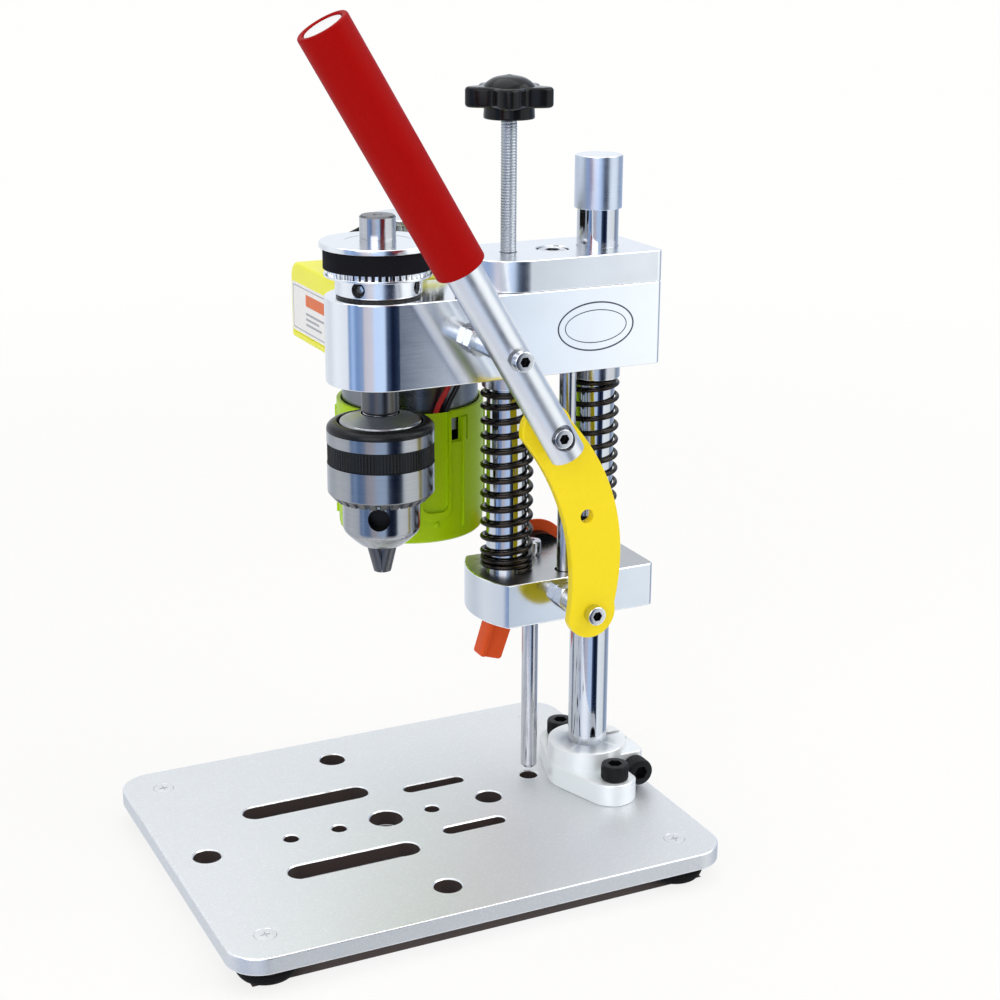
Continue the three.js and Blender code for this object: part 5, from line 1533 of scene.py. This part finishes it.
def buildSleeve():
    size = chuck
    outer = size["sleeve"]
    band = outer - 0.3
    body = turned([
        (11.2, 101.0), (13.2, 101.0), (outer, 103.2, 0.25), (outer, 111.7), (band, 111.7),
        (band, 117.7), (outer, 117.7), (outer, 121.1), (15.1, 122.2, 0.5), (14.0, 123.3, 0.9),
        (12.4, 123.6, 0.3), (12.0, 123.4, 0.2), (12.0, 120.3), (11.2, 119.7),
    ], 112, closed=True)
    centre = spot(0, spindleY)
    half = math.tau * 14.2 / size["teeth"] * 0.15
    section = polygon(
        (-half, -1), (half, -1), (half, 0.9), (half * 0.5, 1.5), (-half * 0.5, 1.5), (-half, 0.9)
    )
    notch = inMetres(placed(sharpPrism(section, 11, 17), 0, 0, 101.0, alongX))
    notches = grown(
        "sleeveNotches", "ring", "band", None, notch, Count=size["teeth"], Centre=centre,
    )
    body = carved(placed(body, 0, spindleY), [asForm(notches)])

    def paint(centre):
        # Painted shade: the notches take the blackened finish and the lower bevel the dark jaw
        # finish; the knurled band and the top rim are black chuckBand.
        x, y, z = centre.x, centre.y - spindleY, centre.z
        reach = math.hypot(x, y)
        phase = (math.atan2(y, x) / math.tau * size["teeth"] + 0.5) % 1 - 0.5
        if z < 102.6 and abs(phase) < 0.16 and reach < 15:
            return 2
        if 111.6 < z < 117.8 and reach < outer - 0.1 or z > 121.2:
            return 1
        return 3 if z < 103.1 and reach < outer - 0.05 else 0

    materials = ["chuck", "band", "blackened", "jaw"]
    body = makePiece("sleeveBody", body, "sleeve", materials, [], paint)
    ridge = inMetres(knurlRidge(band, 111.9, 117.5, 0.75, 0.16))
    knurl = grown("sleeveKnurl", "ring", "band", None, ridge, Count=size["ridges"], Centre=centre)
    seat(merged("chuckSleeve", [body, knurl]), "sleeve", ["chuck_sleeve"])


def buildJaws():
    size = chuck
    length = (size["jawTop"] - size["jawTip"]) / math.cos(math.radians(size["tilt"]))
    # Each jaw ends flat below and in two flat sides that meet the other jaws.
    cuts = [((0, 0, size["jawTip"]), (0, 0, -1))]
    for side in (-1, 1):
        turn = math.radians(60)
        normal = Vector((-math.sin(turn), side * math.cos(turn), 0))
        cuts.append((tuple(-normal * size["parting"]), tuple(normal)))
    for index, letter in enumerate("abc"):
        jaw = leanedJaw(bar(size["jaw"], -2.1, length, 48, 0, 0.3))
        for point, normal in cuts:
            fields = {"geom": [*jaw.verts, *jaw.edges, *jaw.faces], "clear_outer": True}
            cut = bmesh.ops.bisect_plane(jaw, plane_co=point, plane_no=normal, **fields)
            edges = [item for item in cut["geom_cut"] if isinstance(item, bmesh.types.BMEdge)]
            if edges:
                bmesh.ops.holes_fill(jaw, edges=edges)
        bmesh.ops.recalc_face_normals(jaw, faces=jaw.faces)
        jaw = placed(jaw, 0, spindleY, 0, jawTurn(index))
        name = "chuckJaw" + letter.upper()
        makePiece(name, jaw, "jaw_" + letter, "jaw", [f"jaw_{index + 1}"])


# motor, cover and housing
motor = {
    "radius": 20.6,
    "top": 135.7,
    "bottom": 80.6,
    "neck": 8.5,
    "neckTop": 137.2,
    "groove": 0.5,
    "vents": (15, 195),
    "ventLow": (-3, 104),
    "ventHigh": (3, 112.6),
}


def buildMotor():
    size = motor
    radius, top, neck, neckTop = size["radius"], size["top"], size["neck"], size["neckTop"]
    sunk = radius - size["groove"]
    can = turned([
        (0, size["bottom"]), (radius, size["bottom"], 1.2), (radius, 117, 0.1), (sunk, 117.4),
        (sunk, 118.2), (radius, 118.6, 0.1), (radius, top, 1.4), (neck, top),
        (neck, neckTop, 0.4), (2.7, neckTop), (2.7, 116), (0, 116),
    ], 96)
    loop = roundRect(size["ventLow"], size["ventHigh"], 0.8, 3)
    turns = [spin("Z", turn) @ alongX for turn in size["vents"]]
    vents = [placed(sharpPrism(loop, 17, 23), turn=turn) for turn in turns]

    def paint(centre):
        # Painted shade: the walls and floors of the vent pockets take the blackened finish.
        reach = math.hypot(centre.x - motorPlace[0], centre.y - motorPlace[1])
        return 1 if 103.9 < centre.z < 112.8 and reach < radius - 0.2 else 0

    can = placed(carved(can, vents), *motorPlace)
    makePiece(
        "motorCan", can, "head", ["motorCan", "blackened"], ["motor_body"], paint,
    )


cover = {
    "radius": 22.3,
    "wall": 1.3,
    "top": 119,
    "bottom": 78.5,
    "floor": 80.1,
    "ribs": 8,
    "duct": (-17, 8),
    "window": (8.8, 19.5, 27.5),
    "ventReach": 13,
}


def curvedPatch(turnLow, turnHigh, low, high, inner, outer, corner):
    # A patch with rounded corners that follows the cover's round wall.
    middle = (inner + outer) / 2
    half = math.radians(turnHigh - turnLow) / 2 * middle
    form = prism(roundRect((-half, low), (half, high), corner, 6), [], inner, outer, 0.25, 0)
    rows = math.ceil(half)
    for step in range(-rows, rows + 1):
        everything = [*form.verts, *form.edges, *form.faces]
        bmesh.ops.bisect_plane(form, geom=everything, plane_co=(step, 0, 0), plane_no=(1, 0, 0))
    centre = math.radians(turnLow + turnHigh) / 2
    for vert in form.verts:
        turn = centre + vert.co.x / middle
        reach = vert.co.z
        vert.co = Vector((reach * math.cos(turn), reach * math.sin(turn), vert.co.y))
    bmesh.ops.recalc_face_normals(form, faces=form.faces)
    return form


def buildCover():
    size = cover
    outer, floor, top = size["radius"], size["floor"], size["top"]
    inner = outer - size["wall"]
    cup = turned([
        (0, size["bottom"]), (outer - 0.3, size["bottom"], 1.8), (outer, 92), (outer, top, 0.4),
        (inner, top, 0.3), (inner, floor), (0, floor),
    ], 112)
    low, high = size["duct"]
    duct = curvedPatch(low, high, 86.2, top, inner + 0.4, outer + 1.5, 3.4)
    panel = curvedPatch(low + 2.6, high - 2.6, 88.6, 124, outer + 0.55, outer + 3, 2.4)
    pocket = curvedPatch(low + 3.4, high - 1.6, 104, 124, 20.9, outer + 0.5, 1.0)
    square = curvedPatch(low, high, 108, top, inner + 0.4, outer + 1.5, 0.4)
    wall = carved(united(duct, [square]), [panel])
    start, middle, end = size["window"]
    recess = curvedPatch(start, end, 109.2, 117, outer - 0.75, outer + 2, 0.8)
    window = curvedPatch(start + 0.2, middle, 109.6, 116.5, inner - 2, outer + 2, 0.6)
    dot = placed(turned([(0, 20), (1.0, 20), (1.0, 22.5, 0.4), (0, 22.8)], 24), 0, 0, 84.4, alongX)
    dot = placed(dot, turn=spin("Z", -3))
    cutters = [recess, window, pocket]
    for index in range(size["ribs"]):
        turn = spin("Z", (index * 2 + 1) / size["ribs"] * 180)
        cutters.append(placed(placed(bar(2.2, 78, 81), size["ventReach"]), turn=turn))
    cutters.append(bar(4.5, 78, 79.1, 48))
    cup = placed(carved(united(cup, [wall, dot]), cutters), *motorPlace)
    shell = makePiece("coverShell", cup, "head", "cover", [])
    loop = roundRect((outer - 0.8, -0.7), (outer + 0.5, 0.7), 0.35, 3)
    rib = inMetres(prism(loop, [], 82.5, 116.5, 0.3))
    values = {"Count": size["ribs"], "Turn": math.radians(22.5), "Centre": spot(*motorPlace)}
    ribs = grown("coverRibs", "ring", "cover", None, rib, **values)
    seat(merged("motorCover", [shell, ribs]), "head", ["motor_cover"])


housing = {
    "left": -59,
    "right": -15,
    "front": -13,
    "rear": 65,
    "bottom": 136,
    "top": 159.3,
    "round": 5,
    "edge": 1.0,
    "socketY": 48,
    "knobX": -38,
    "controlZ": 147.6,
    "ventY": 22,
    "ventPitch": 3.4,
    "vents": 5,
}


def buildHousing():
    size = housing
    left, right = size["left"], size["right"] - 0.1
    front, rear, bottom, top = size["front"], size["rear"], size["bottom"], size["top"]
    loop = polygon((right, bottom), (right, top))
    loop += arc(left + size["round"], top - size["round"], size["round"], 90, 180, 12)
    loop += arc(left + 1.2, bottom + 1.2, 1.2, 180, 270, 5)
    body = placed(prism(loop, [], -rear, -front, size["edge"]), turn=spin("X", 90))
    bore = turned([(0, 135), (9, 135), (9, 159), (9.5, 159.6), (0, 159.6)], 56)
    cutters = [
        placed(bore, *motorPlace),
        placed(bar(4.9, -61, -50.7, 40), 0, size["socketY"], size["controlZ"], alongX),
        placed(bar(3.3, 56, 66), size["knobX"], 0, size["controlZ"], alongY),
    ]
    # vent slots in the outer side
    for index in range(size["vents"]):
        slot = sharpPrism(slotLoop(0, 0, 12, 1.4), -1, 1)
        cutters.append(placed(slot, left, size["ventY"] + index * size["ventPitch"], 148, alongX))
    # parting line round the box
    outside = roundRect((left - 1, front - 1), (right + 1, rear + 1), 1, 2)
    inside = roundRect((left + 0.35, front + 0.35), (right - 0.35, rear - 0.35), 1, 4)
    cutters.append(prism(outside, [inside], 138.0, 138.35, 0, 0))
    for share in (-0.5, 0.5):
        cutters.append(placed(bar(1.25, 135, 141, 24), *leadPoint(share, leadReach, 137).xy))
    body = carved(body, cutters)
    makePiece("housing", body, "head", "housing", ["housing"])


label = {
    "low": (-57.6, 138.6),
    "high": (-16.4, 153.4),
    "depth": 0.06,
    "frameInset": 0.8,
    "line": 0.35,
    # left, right, lower and upper edge of each colour block, and the bars under one another
    "blocks": [(-46, -30, 147.5, 151), (-28.5, -18.5, 141, 151)],
    "bars": [(-46, -31, 144.85, 145.55), (-46, -35, 143.25, 143.95), (-46, -33, 141.65, 142.35)],
}


def buildLabel():
    # White label on the front end with a plain frame, two blank colour blocks and three bars.
    size = label
    depth = size["depth"]

    def sheet(inset, radius, steps):
        shift = Vector((inset, inset))
        return roundRect(Vector(size["low"]) + shift, Vector(size["high"]) - shift, radius, steps)

    inset = size["frameInset"]
    white = prism(sheet(0, 1.0, 5), [], 0, depth, 0.02, 0)
    loops = sheet(inset, 0.6, 4), sheet(inset + size["line"], 0.4, 4)
    forms = [white, prism(loops[0], [loops[1]], depth - 0.01, depth + 0.02, 0, 0)]
    for left, right, low, high in size["blocks"]:
        forms.append(
            sharpPrism(roundRect((left, low), (right, high), 0.4, 3), depth - 0.01, depth + 0.02),
        )
    for left, right, low, high in size["bars"]:
        forms.append(
            sharpPrism(roundRect((left, low), (right, high), 0.2, 2), depth - 0.01, depth + 0.015),
        )
    for form, kind in zip(forms, (0, 1, 2, 2, 1, 1, 1)):
        for face in form.faces:
            face.material_index = kind
    form = placed(gathered(*forms), 0, housing["front"] - 0.005, 0, spin("X", 90))
    materials = ["label", "labelGrey", "labelOrange"]
    makePiece("housingLabel", form, "head", materials, [])


def buildSocketAndKnob():
    size = housing
    socket = turned([
        (2.8, -60.4), (6.0, -60.4, 0.5), (6.0, -59.05), (4.6, -59.05), (4.6, -51),
        (0, -51), (0, -52.2), (2.8, -52.2),
    ], 56)
    pin = turned([(0, -52.3), (0.8, -52.3), (0.8, -58.6, 0.3), (0, -58.8)], 24)
    form = placed(gathered(socket, pin), 0, size["socketY"], size["controlZ"], alongX)
    makePiece("powerSocket", form, "head", "knob", ["power_socket"])
    low = size["rear"] + 0.3
    face = low + 8.0
    body = turned([
        (0, low), (6.4, low, 0.3), (6.4, low + 1.4, 0.3), (5.6, low + 1.9, 0.2),
        (5.3, face + 0.4, 0.7), (3.6, face + 0.4, 0.2), (3.3, face, 0.2), (0, face),
    ], 64)
    stem = bar(3, 56.8, low + 1)
    line = sharpPrism(roundRect((-0.35, 1.2), (0.35, 5.0), 0.2, 2), face, face + 0.42)
    form = placed(gathered(body, stem, line), size["knobX"], 0, size["controlZ"], alongY)
    plain = makePiece("knobBody", form, "speed", "knob", [])
    ridge = inMetres(knurlRidge(5.45, low + 2.4, low + 7.4, 0.7, 0.3))
    ridges = grown("knobRidges", "ring", "knob", None, ridge, Count=28)
    place = spot(size["knobX"], 0, size["controlZ"])
    ridges.data.transform(Matrix.Translation(place) @ alongY)
    seat(merged("speedKnob", [plain, ridges]), "speed", ["speed_knob"])


leadReach = (motor["radius"] + cover["radius"]) / 2 + 1.8
lead = {
    "radius": 0.846,
    "spacing": 3.4,
    "exit": 21.5,
    # reach from the motor's axis and height of each stop
    "stops": [
        (leadReach, 138.2), (leadReach, 134.5), (leadReach, 127),
        (21.95, 119.8), (21.8, 116), (21.8, 109),
    ],
}


def leadPoint(share, reach, z):
    # The leads slant from their holes in the housing down into the duct of the cover.
    fall = min(max((137 - z) / 19, 0), 1)
    turn = math.radians(lead["exit"] * (1 - fall)) + share * lead["spacing"] / leadReach
    return Vector(
        (motorPlace[0] + reach * math.cos(turn), motorPlace[1] + reach * math.sin(turn), z),
    )


def buildLeads():
    for name, share, slot in (("red", -0.5, "red_wire"), ("black", 0.5, "rubber")):
        stops = [leadPoint(share, reach, z) for reach, z in lead["stops"]]
        curve = bpy.data.curves.new(name + "Lead", "CURVE")
        curve.dimensions = "3D"
        curve.bevel_depth = lead["radius"] * mm
        curve.bevel_resolution = 4
        curve.use_fill_caps = True
        curve.resolution_u = 10
        spline = curve.splines.new("BEZIER")
        spline.bezier_points.add(len(stops) - 1)
        for point, stop in zip(spline.bezier_points, stops):
            point.co = spot(*stop)
            point.handle_left_type = point.handle_right_type = "AUTO"
        wire = addObject(name + "Lead", curve)
        mesh = finalMesh(wire)
        bpy.data.objects.remove(wire)
        piece = addObject(name + "Lead", mesh)
        dress(piece, "head", [name + "Wire"], [name + "_lead"], 60)


# depth stop
depthStop = {
    "radius": 2.3,
    "groove": 0.15,
    "pitch": 0.8,
    "low": 159.05,
    "high": 213.6,
    "knobLow": 205,
    "knobReach": 10.55,
    "lobes": 5,
    "lobe": 2.1,
    "lobeTurn": 26,
}


def buildDepthStop():
    size = depthStop
    values = {
        "Radius": size["radius"] * mm,
        "Depth": size["groove"] * mm,
        "Pitch": size["pitch"] * mm,
        "Length": (size["high"] - size["low"]) * mm,
        "Centre": spot(0, guideY, (size["high"] + size["low"]) / 2),
    }
    screw = grown("depthScrew", "thread", "thread", **values)
    seat(screw, "depth", ["depth_screw"])


def buildStarKnob():
    size = depthStop
    loop = []
    for angle in [math.tau * step / 160 for step in range(160)]:
        lobe = math.cos(size["lobes"] * (angle + math.radians(size["lobeTurn"])))
        reach = size["knobReach"] + size["lobe"] * lobe
        loop.append(Vector((reach * math.cos(angle), reach * math.sin(angle))))
    star = prism(loop, [], 208.3, 213.9, 1.0, steps=5)
    low = size["knobLow"]
    profile = [(2.6, low), (7.2, low, 0.6), (7.0, low + 3.4), (7.0, 213), (2.6, 213)]
    hub = turned(profile, 64, closed=True)
    profile = [
        (0, 212.4), (7.8, 212.4), (7.7, 213.1), (6.6, 214.7, 1.0), (4.4, 216.2, 1.4), (0, 217.0),
    ]
    dome = turned(profile, 72, steps=5)
    form = placed(gathered(star, hub, dome), 0, guideY)
    makePiece("starKnob", form, "star", "knob", ["star_knob"], sharpAngle=40)


# feed lever and link
lever = {
    "y": 14,
    "z": 147.5,
    "x": 37,
    "radius": 5,
    "arm": math.hypot(14, 23.5),
    "lean": math.degrees(math.atan2(14, 23.5)),
    "tail": 6.5,
    "gripStart": 28.6,
    "gripLength": 71.5,
    "gripRadius": 7,
}


def leaned(form):
    return placed(form, lever["x"], lever["y"], lever["z"], spin("X", lever["lean"]))


def buildLever():
    size = lever
    arm, start = size["arm"], size["gripStart"]
    end = start + size["gripLength"]
    rod = bar(size["radius"], -arm - size["tail"], end - 4, 80, 0.35)
    cutters = [
        bar(1.75, -6, 6, 40),
        bar(3.25, 4.1, 7, 48),
        sharpPrism(slotLoop(0, 0.8 - arm, 5.6, 3.6), -7, 7),
        sharpPrism(slotLoop(0, 0.5 - arm, 7.6, 6.6), 1.2, 7),
    ]
    rod = leaned(carved(rod, [placed(cutter, turn=alongX) for cutter in cutters]))
    makePiece("leverRod", rod, "lever", "lever", ["lever_rod"])
    radius = size["gripRadius"]
    grip = turned([
        (5.02, start), (radius, start, 0.6), (radius, end, 0.7), (5.7, end, 0.3),
        (5.4, end - 0.6), (5.3, end - 3.7), (5.02, end - 3.7),
    ], 80, closed=True)
    makePiece("leverGrip", leaned(grip), "lever", "grip", ["lever_grip"])
    plug = turned([(0, end - 3), (5.25, end - 3), (5.25, end - 0.4, 0.3), (0, end - 0.3)], 64)
    makePiece("gripPlug", leaned(plug), "lever", "plug", ["grip_plug"])


pivot = {
    "shank": 1.5, "head": 2.75, "headHeight": 3, "socket": 1.5, "depth": 1.9, "nut": 4.4, "tube": 3,
}


def nutForm(reach, low, high, bore):
    # Hexagon nut with turned-down corners.
    rim, wide = reach * 0.9, reach * 1.02
    profile = [(0, low), (rim, low), (wide, low + 0.5), (wide, high - 0.5), (rim, high), (0, high)]
    nut = sharpPrism(hexagon(reach, 12), low, high)
    return carved(combined(nut, [turned(profile, 48)], "INTERSECT"), [bar(bore, low - 1, high + 1)])


def pivotScrew(seatX, length, y, z):
    # Screw on the X axis, and the paint that puts painted shade inside its socket with the
    # blackened finish.
    size = pivot
    shape = capScrewForm(
        size["shank"], length, size["head"], size["headHeight"], size["socket"], size["depth"], 0.3
    )
    outerX = seatX + size["headHeight"] - 0.05

    def paint(centre):
        near = math.hypot(centre.y - y, centre.z - z) < size["socket"] * 1.02
        return 1 if near and outerX - 2.6 < centre.x < outerX else 0

    return placed(shape, 0, 0, seatX), paint


def buildPivots():
    for name, node, body, tip, tubeEnd, seatX, y, z in (
        ("link", "link_pivot", "bracket", 12, 28.2, 31.8, *link["low"]),
        ("lever", "lever_pivot", "head", 9, 31.7, 42.3, lever["y"], lever["z"]),
    ):
        screw, paint = pivotScrew(seatX, seatX - tip, y, z)
        screw = placed(screw, 0, y, z, alongX)
        materials = ["steel", "blackened"]
        makePiece(name + "PivotScrew", screw, body, materials, [node + "_screw"], paint)
        tube = collar(1.6, pivot["tube"], 18.5, tubeEnd, 0, 0.25, 48)
        form = placed(gathered(nutForm(pivot["nut"], 15.02, 19, 1.6), tube), 0, y, z, alongX)
        makePiece(name + "PivotSpacer", form, body, "zinc", [name + "_spacer"])


link = {
    "innerX": 28.5,
    "thickness": 3,
    "end": 7.6,
    "low": (43, 68.3),
    "high": (28, 124),
    "outerBow": 7.4,
    "innerBow": 6.2,
    "pivotHole": 1.7,
    "spareHole": (40.8, 97.6, 2),
    "screwSeat": 38.3,
}


def curvePoints(start, control, end, steps):
    return [bowed(start, control, end, step / steps) for step in range(1, steps)]


def buildLink():
    size = link
    low, high = Vector(size["low"]), Vector(size["high"])
    along = (high - low).normalized()
    across = Vector((along.y, -along.x))
    side = across * size["end"]
    middle = (low + high) / 2
    outer = middle + across * (size["end"] + size["outerBow"] * 2)
    inner = middle + across * (size["innerBow"] * 2 - size["end"])
    turn = math.degrees(math.atan2(along.y, along.x))
    loop = [low + side]
    loop += curvePoints(low + side, outer, high + side, 40)
    loop += arc(*high, size["end"], turn - 90, turn + 90, 32)
    loop += curvePoints(high - side, inner, low - side, 40)
    loop += arc(*low, size["end"], turn + 90, turn + 269, 32)
    holes = [circle(*place, size["pivotHole"], 32) for place in (size["low"], size["high"])]
    holes.append(circle(*size["spareHole"], 36))
    form = prism(loop, holes, size["innerX"], size["innerX"] + size["thickness"], 0.45, 0.25)
    makePiece("link", placed(form, turn=alongX), "link", "link", ["link"])
    screw, paint = pivotScrew(size["screwSeat"], 14.1, *size["high"])
    form = placed(gathered(screw, nutForm(3.65, 25.2, 28.2, 1.4)), 0, *size["high"], alongX)
    makePiece("linkScrew", form, "link", ["steel", "blackened"], ["link_screw"], paint)


# building order
stages = [
    ("table", [buildTablePlate, buildFeet, buildFlange, buildFlangeScrews, buildColumn]),
    ("bracket", [buildLowerBlock, buildGuides, buildClamp, buildSprings]),
    ("head", [buildHead, buildBushes, buildSticker]),
    ("drive", [buildSpindle, buildSpindlePulley, buildMotorPulley, buildBelt]),
    ("chuck", [buildChuckBody, buildSleeve, buildJaws]),
    ("motor", [buildMotor, buildCover, buildHousing, buildLabel, buildSocketAndKnob, buildLeads]),
    ("depth stop", [buildDepthStop, buildStarKnob]),
    ("lever", [buildLever, buildPivots, buildLink]),
]
for stage, builders in stages:
    for build in builders:
        build()
    print("built:", stage)


# camera, floor and light
view = {
    "sensor": 36,
    "frameWidth": 1000,
    "focal": 1881.365,
    "centre": (505.395, 497.756),
    "azimuth": 63.95,
    "elevation": 17.479,
    "roll": 0.367,
    "place": (472.41, -200.33, 272.02),
}


def buildCamera():
    azimuth, elevation, roll = [math.radians(view[key]) for key in ("azimuth", "elevation", "roll")]
    flat = math.cos(elevation)
    ahead = Vector((-math.sin(azimuth) * flat, math.cos(azimuth) * flat, -math.sin(elevation)))
    level = Vector((math.cos(azimuth), math.sin(azimuth), 0))
    up = level.cross(ahead)
    right = math.cos(roll) * level + math.sin(roll) * up
    above = -math.sin(roll) * level + math.cos(roll) * up
    width = view["frameWidth"]
    camera = bpy.data.cameras.new("camera")
    camera.sensor_width = view["sensor"]
    camera.lens = view["focal"] * view["sensor"] / width
    camera.shift_x = (width / 2 - view["centre"][0]) / width
    camera.shift_y = (view["centre"][1] - width / 2) / width
    camera.clip_start = 0.01
    camera.clip_end = 20
    holder = addObject("camera", camera)
    matrix = Matrix((right, above, -ahead)).transposed().to_4x4()
    matrix.translation = Vector(view["place"]) * mm
    holder.matrix_world = matrix
    bpy.context.scene.camera = holder


studio = {
    "floorReach": 12.0,
    "floorColour": (0.90, 0.89, 0.88),
    "backdrop": (1.0, 0.997, 0.99),
    "floorGlow": (0.80, 1.0),
    # reach and colour of the painted shadow on the floor under the plate
    "underPlate": (0.054, 0.069),
    "paintedFloorShadow": (0.14, 0.11, 0.10),
    "worldLight": 0.55,
    "overhead": (0.98, 1.01, 1.05),
    "below": (0.80, 0.82, 0.86),
    # the room that metal reflects: direction in degrees from +X and its colour
    "walls": [
        (-180, (0.80, 0.84, 0.90)),
        (-150, (0.74, 0.79, 0.86)),
        (-124, (0.90, 0.94, 1.00)),
        (-93, (0.82, 0.87, 0.95)),
        (-88, (0.20, 0.32, 0.58)),
        (-80, (0.38, 0.54, 0.86)),
        (-70, (0.18, 0.30, 0.56)),
        (-58, (0.26, 0.36, 0.58)),
        (-52, (0.60, 0.58, 0.66)),
        (-38, (0.64, 0.64, 0.74)),
        (-30, (0.60, 0.76, 1.05)),
        (-12, (0.62, 0.78, 1.05)),
        (-5, (0.05, 0.08, 0.16)),
        (6, (0.005, 0.01, 0.03)),
        (22.4, (0.02, 0.035, 0.08)),
        (26.2, (0.84, 0.94, 1.08)),
        (31, (1.10, 1.15, 1.18)),
        (70, (1.00, 1.05, 1.08)),
        (84, (0.30, 0.36, 0.48)),
        (104, (0.40, 0.50, 0.66)),
        (128, (0.56, 0.64, 0.78)),
        (152, (0.90, 0.95, 1.02)),
        (180, (0.80, 0.84, 0.90)),
    ],
    # name, place and target in metres, size and power
    "lamps": [
        ("keyLamp", (0.45, 0.75, 0.90), (0, 0, 0.12), (1.1, 0.8), 5.0),
        ("frontLamp", (0.75, -0.75, 0.55), (0, 0, 0.12), (0.9, 0.9), 4.2),
        ("topLamp", (-0.2, -0.1, 1.2), (0, 0, 0.1), (1.1, 1.1), 4.4),
    ],
}


def buildFloor():
    size = studio
    half = size["floorReach"]
    form = bmesh.new()
    corners = ((-half, -half, 0), (half, -half, 0), (half, half, 0), (-half, half, 0))
    form.faces.new([form.verts.new(corner) for corner in corners])
    floor = toObject(form, "studioFloor")
    floor.visible_glossy = False
    material, tree, shader, place = startMaterial("studioFloor", 0.0, 0.1)
    shader["Roughness"].default_value = 0.8
    reach = vectorNode(tree, "LENGTH", place)
    glow = rangeNode(tree, reach, 0.2, 0.9, *size["floorGlow"])
    glow.interpolation_type = "SMOOTHSTEP"
    # Painted shadow: the floor takes a dark colour and no glow under the plate, and is white
    # elsewhere.
    split = splitNode(tree, place)
    sides = []
    for axis, edge in enumerate(size["underPlate"]):
        sides.append(mathNode(tree, "GREATER_THAN", mathNode(tree, "ABSOLUTE", split[axis]), edge))
    beside = mathNode(tree, "MAXIMUM", *sides)
    ground = blended(tree, beside, size["paintedFloorShadow"], size["floorColour"])
    tree.links.new(ground, shader["Base Color"])
    rays = addNode(tree, "ShaderNodeLightPath").outputs
    lit = mathNode(tree, "MULTIPLY", rays["Is Camera Ray"], glow.outputs[0])
    white = addNode(tree, "ShaderNodeEmission", {"Color": (*size["backdrop"], 1), "Strength": 1.0})
    surface = tree.nodes["Principled BSDF"].outputs[0]
    values = {0: mathNode(tree, "MULTIPLY", lit, beside), 1: surface, 2: white.outputs[0]}
    mix = addNode(tree, "ShaderNodeMixShader", values)
    tree.links.new(mix.outputs[0], tree.nodes["Material Output"].inputs["Surface"])
    floor.data.materials.append(material)


def buildWorld():
    size = studio
    world = bpy.data.worlds.new("studioWorld")
    bpy.context.scene.world = world
    world.use_nodes = True
    tree = world.node_tree
    rays = addNode(tree, "ShaderNodeLightPath").outputs
    split = splitNode(tree, addNode(tree, "ShaderNodeTexCoord").outputs["Generated"])
    turn = mathNode(tree, "ARCTAN2", split[1], split[0])
    share = mathNode(tree, "MULTIPLY_ADD", turn, 1 / math.tau, 0.5)
    walls = addNode(tree, "ShaderNodeValToRGB", {0: share})
    ramp = walls.color_ramp
    ramp.interpolation = "EASE"
    for degrees, tint in size["walls"]:
        place = degrees / 360 + 0.5
        # The ramp starts with one element at each end.
        ends = {0: 0, 1: -1}
        element = ramp.elements[ends[place]] if place in ends else ramp.elements.new(place)
        element.position = place
        element.color = (*tint, 1)
    high = rangeNode(tree, split[2], 0.35, 0.8).outputs[0]
    deep = rangeNode(tree, split[2], -0.5, -0.85).outputs[0]
    dome = blended(tree, high, walls.outputs[0], size["overhead"])
    room = blended(tree, deep, dome, size["below"])

    def background(tone, strength=1.0):
        values = {"Color": tone, "Strength": strength}
        return addNode(tree, "ShaderNodeBackground", values).outputs[0]

    glossy = background(room)
    soft = background((1, 1, 1, 1), size["worldLight"])
    backdrop = background((*size["backdrop"], 1))
    light = addNode(tree, "ShaderNodeMixShader", {0: rays["Is Glossy Ray"], 1: soft, 2: glossy})
    seen = mathNode(tree, "MAXIMUM", rays["Is Camera Ray"], rays["Is Transmission Ray"])
    values = {0: seen, 1: light.outputs[0], 2: backdrop}
    last = addNode(tree, "ShaderNodeMixShader", values)
    tree.links.new(last.outputs[0], tree.nodes["World Output"].inputs["Surface"])


def buildLamps():
    for name, place, target, span, power in studio["lamps"]:
        lamp = bpy.data.lights.new(name, "AREA")
        lamp.shape = "RECTANGLE"
        lamp.size, lamp.size_y = span
        lamp.energy = power
        holder = addObject(name, lamp)
        holder.location = place
        facing = Vector(target) - Vector(place)
        holder.rotation_euler = facing.to_track_quat("-Z", "Y").to_euler()


buildCamera()
buildFloor()
buildWorld()
buildLamps()
bpy.context.scene.view_settings.view_transform = "Standard"
print("studio: ready")
